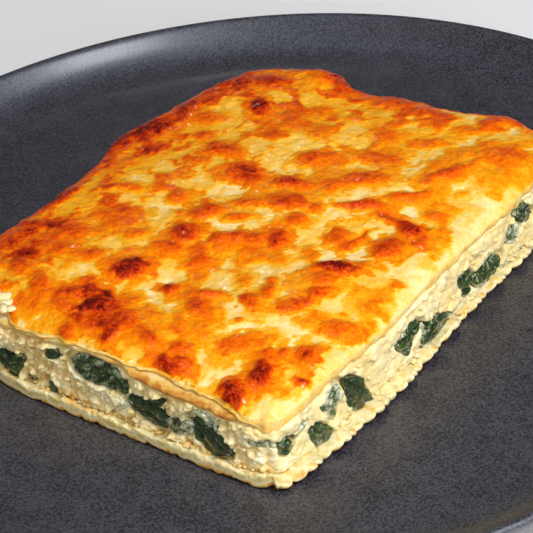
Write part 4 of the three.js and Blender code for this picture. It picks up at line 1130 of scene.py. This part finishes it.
def makeCheese():
    rimRows, under = cheeseShape["rimRows"], cheeseShape["underSteps"]
    cheese = gridBlank(cheeseShape["across"], cheeseShape["along"], rimRows + len(under))
    co = getCoords(cheese)
    u, v = co[:, 0].copy(), co[:, 1].copy()
    row = np.round(-co[:, 2]).astype(int)
    rim = np.maximum(np.abs(u), np.abs(v))
    onRim = row > 0
    shrink = np.array([1.0] * (rimRows + 1) + list(under))[row]
    shrink = np.where((row == rimRows + len(under)) & (rim < 0.5), 0, shrink)
    turn = turnOf(np.where(onRim, u, 0), np.where(onRim, v, -1.0))
    # the crust draws back from the cut edge where the sheet below shows
    sx = mix(slab["nearLeft"][0], slab["nearRight"][0], (u + 1) / 2)
    recede = cheeseShape["recede"] * window(sx, cheeseShape["sagFrom"], cheeseShape["sagTo"], 9)
    recede = recede + cheeseShape["nearLeftRecede"] * window(sx, -38, -24, 4)
    recede = recede + 1.4 * (softNoise(sx, sx * 0, 0, 4, 171, 3) - 0.4)
    front, right, far, left = cheeseShape["insets"]
    x, y = planPoint(u * shrink, v * shrink, (front + np.maximum(-0.2, recede), right, far, left))
    low = plateFloor + fillingTop(x, y) + topShape["thick"] + 0.3
    level, rise, green = crust(x, y, rim)
    # the shoulder is round, over about 5 mm
    fromRim = np.clip((np.where(onRim, 1, rim) - 0.9) / 0.1, 0, 1)
    edge = (1 - np.sqrt(1 - 0.96 * fromRim ** 2)) / 0.8
    around = turnOf(u / np.maximum(rim, 0.01), v / np.maximum(rim, 0.01))
    thin = 0.5 + 0.3 * window(around, 0.95, 1.85, 0.1) + 0.15 * window(around, -1, 0.95, 0.1)
    top = low + (cheeseShape["thick"] + rise) * (1 - thin * edge)
    top = top + 0.14 * waver(x, y, 0, 1.2, 181, 2) * (1 + 4 * level)
    room = cheeseShape["ceiling"] - 1
    top = np.where(top > room, room + 1 - np.exp(-(top - room)), top)
    hang = low - cheeseDrape(x, y) * (1 + 1.4 * waver(x, y, 0, 3, 185, 3))  # a ragged hem
    swing = np.clip(row / rimRows, 0, 1)
    outX, outY = outwardAt(turn)
    hidden = window(turn, 2.0, 4.0, 0.05)  # the far and left rims are lumpy
    onRight = window(turn, 1.0, 2.0, 0.05)  # there the hem sinks into the ricotta
    outward = mix(0.6 * np.sin(np.pi / 2 * swing), 0.7 * np.sin(np.pi * swing) - 0.7 * swing, onRight)
    bulge = outward * (row <= rimRows) + (0.8 + 0.9 * hidden) * waver(x, y, row * 0.6, 2.8, 191, 3) * onRim
    bulge = bulge + 2.2 * hidden * (softNoise(x, y, row * 0.3, 5.5, 199, 2) - 0.45) * onRim
    bulge = np.where(row > rimRows, 0, bulge)
    z = np.where(row <= rimRows, mix(top, hang, (1 - np.cos(np.pi * swing)) / 2), low)
    setCoords(cheese, x + outX * bulge, y + outY * bulge, np.where(onRim, z, top))
    frontSide = window(turn, 0.0, 1.0, 0.02) * onRim
    fade = smooth(swing * 3) * (0.85 * frontSide + 0.85 * onRight * onRim)
    creamy = 0.16 + 0.22 * waver(x, y, row * 0.5, 2.5, 197, 3)
    # painted shade with browner crust: the far and left hems are painted dark brown
    rimmed = np.where(onRim, 0.5 + 0.5 * softNoise(x, y, row * 0.5, 3, 195, 2), 0) * hidden
    level = np.maximum(mix(level, creamy, fade), np.where(row <= rimRows, rimmed, 0.2))
    pinkish = frontSide * smooth((swing - 0.75) / 0.2) * 0.3
    paint(cheese, "browning", np.clip(np.maximum(level, pinkish), 0, 1))
    paint(cheese, "greening", green * (row == 0))
    finishPiece(cheese, "bakedCheeseTop", "baked_cheese", materials["baked_cheese"], "baked_cheese_top")


makeCheese()
print("cheese baked")

# Loose ricotta curds, on the cut side and on the ledge of the bottom sheet
crumbShape = {
    "onTop": [(-29, -58.4, 1.9), (-26.6, -59.8, 1.6), (-25.4, -61.8, 1.4), (-31.6, -59, 1.9), (-23.9, -60.9, 1)],
    "topHeight": 22.6, "size": 0.72, "onWall": 200, "onLedge": 190, "seed": 12,
}


def onLeaf(side, at, up):
    lines = [line for lobeSide, lobes in leafLobes.values() if lobeSide == side for line, cream, lightness in lobes]
    return any(lobeField(line, np.array([at]), np.array([up]))[0] > 0 for line in lines)


# Places of the curds: x, y, height over the plate's floor, radius and tone
def crumbPlaces(draw):
    places = []
    for k in range(crumbShape["onWall"] + crumbShape["onLedge"]):
        onWall = k < crumbShape["onWall"]
        turn = draw.uniform(0.03, 1.97)
        side = "front" if turn < 1 else "right"
        up = draw.uniform(4.5, 16) if onWall else 3.4
        if onLeaf(side, mix(*sideSpans[side], turn % 1), up):
            continue
        x, y = sidePoint(np.array([turn]), np.array([up]), np.array([0.1 if onWall else draw.uniform(0, 0.9)]))
        if not onWall:
            up = 3.0 + float(frillLift(x, y)[0]) + (0.7 if side == "front" else 0)
        tone = draw.uniform(0.4, 0.75) - (0.25 if not onWall and side == "front" else 0)
        places.append((x[0], y[0], up, crumbShape["size"] * draw.uniform(0.45, 1.5), tone))
    return places + [(x, y, crumbShape["topHeight"], radius, 0.7) for x, y, radius in crumbShape["onTop"]]


def makeCrumbs():
    draw = random.Random(crumbShape["seed"])
    deselectAll()
    bpy.ops.mesh.primitive_ico_sphere_add(subdivisions=2, radius=1, location=(0, 0, 0))
    model = bpy.context.object
    base = getCoords(model)
    base = base * (1 + 1.5 * waver(*base.T, 0.8, 201, 2))[:, None]
    crumbs, tones = [], []
    for x, y, up, radius, tone in crumbPlaces(draw):
        deselectAll()
        model.select_set(True)
        bpy.context.view_layer.objects.active = model
        bpy.ops.object.duplicate()
        crumb = bpy.context.object
        angle = draw.uniform(0, 6.28)
        c, s = math.cos(angle), math.sin(angle)
        wide, deep, high = (draw.uniform(0.75, 1.2) * radius for _ in range(3))
        px, py, pz = base[:, 0] * wide, base[:, 1] * deep, base[:, 2] * high
        setCoords(crumb, x + px * c - py * s, y + px * s + py * c, plateFloor + up + pz * 0.8)
        crumbs.append(crumb)
        tones.append(tone)
    bpy.data.objects.remove(model)
    pile = joinPieces(crumbs)
    paint(pile, "tone", np.repeat(tones, len(base)))
    paint(pile, "greening", np.zeros(len(pile.data.vertices)))
    finishPiece(pile, "ricottaCrumbs", "ricotta", materials["ricotta"])


makeCrumbs()
print("curds scattered")
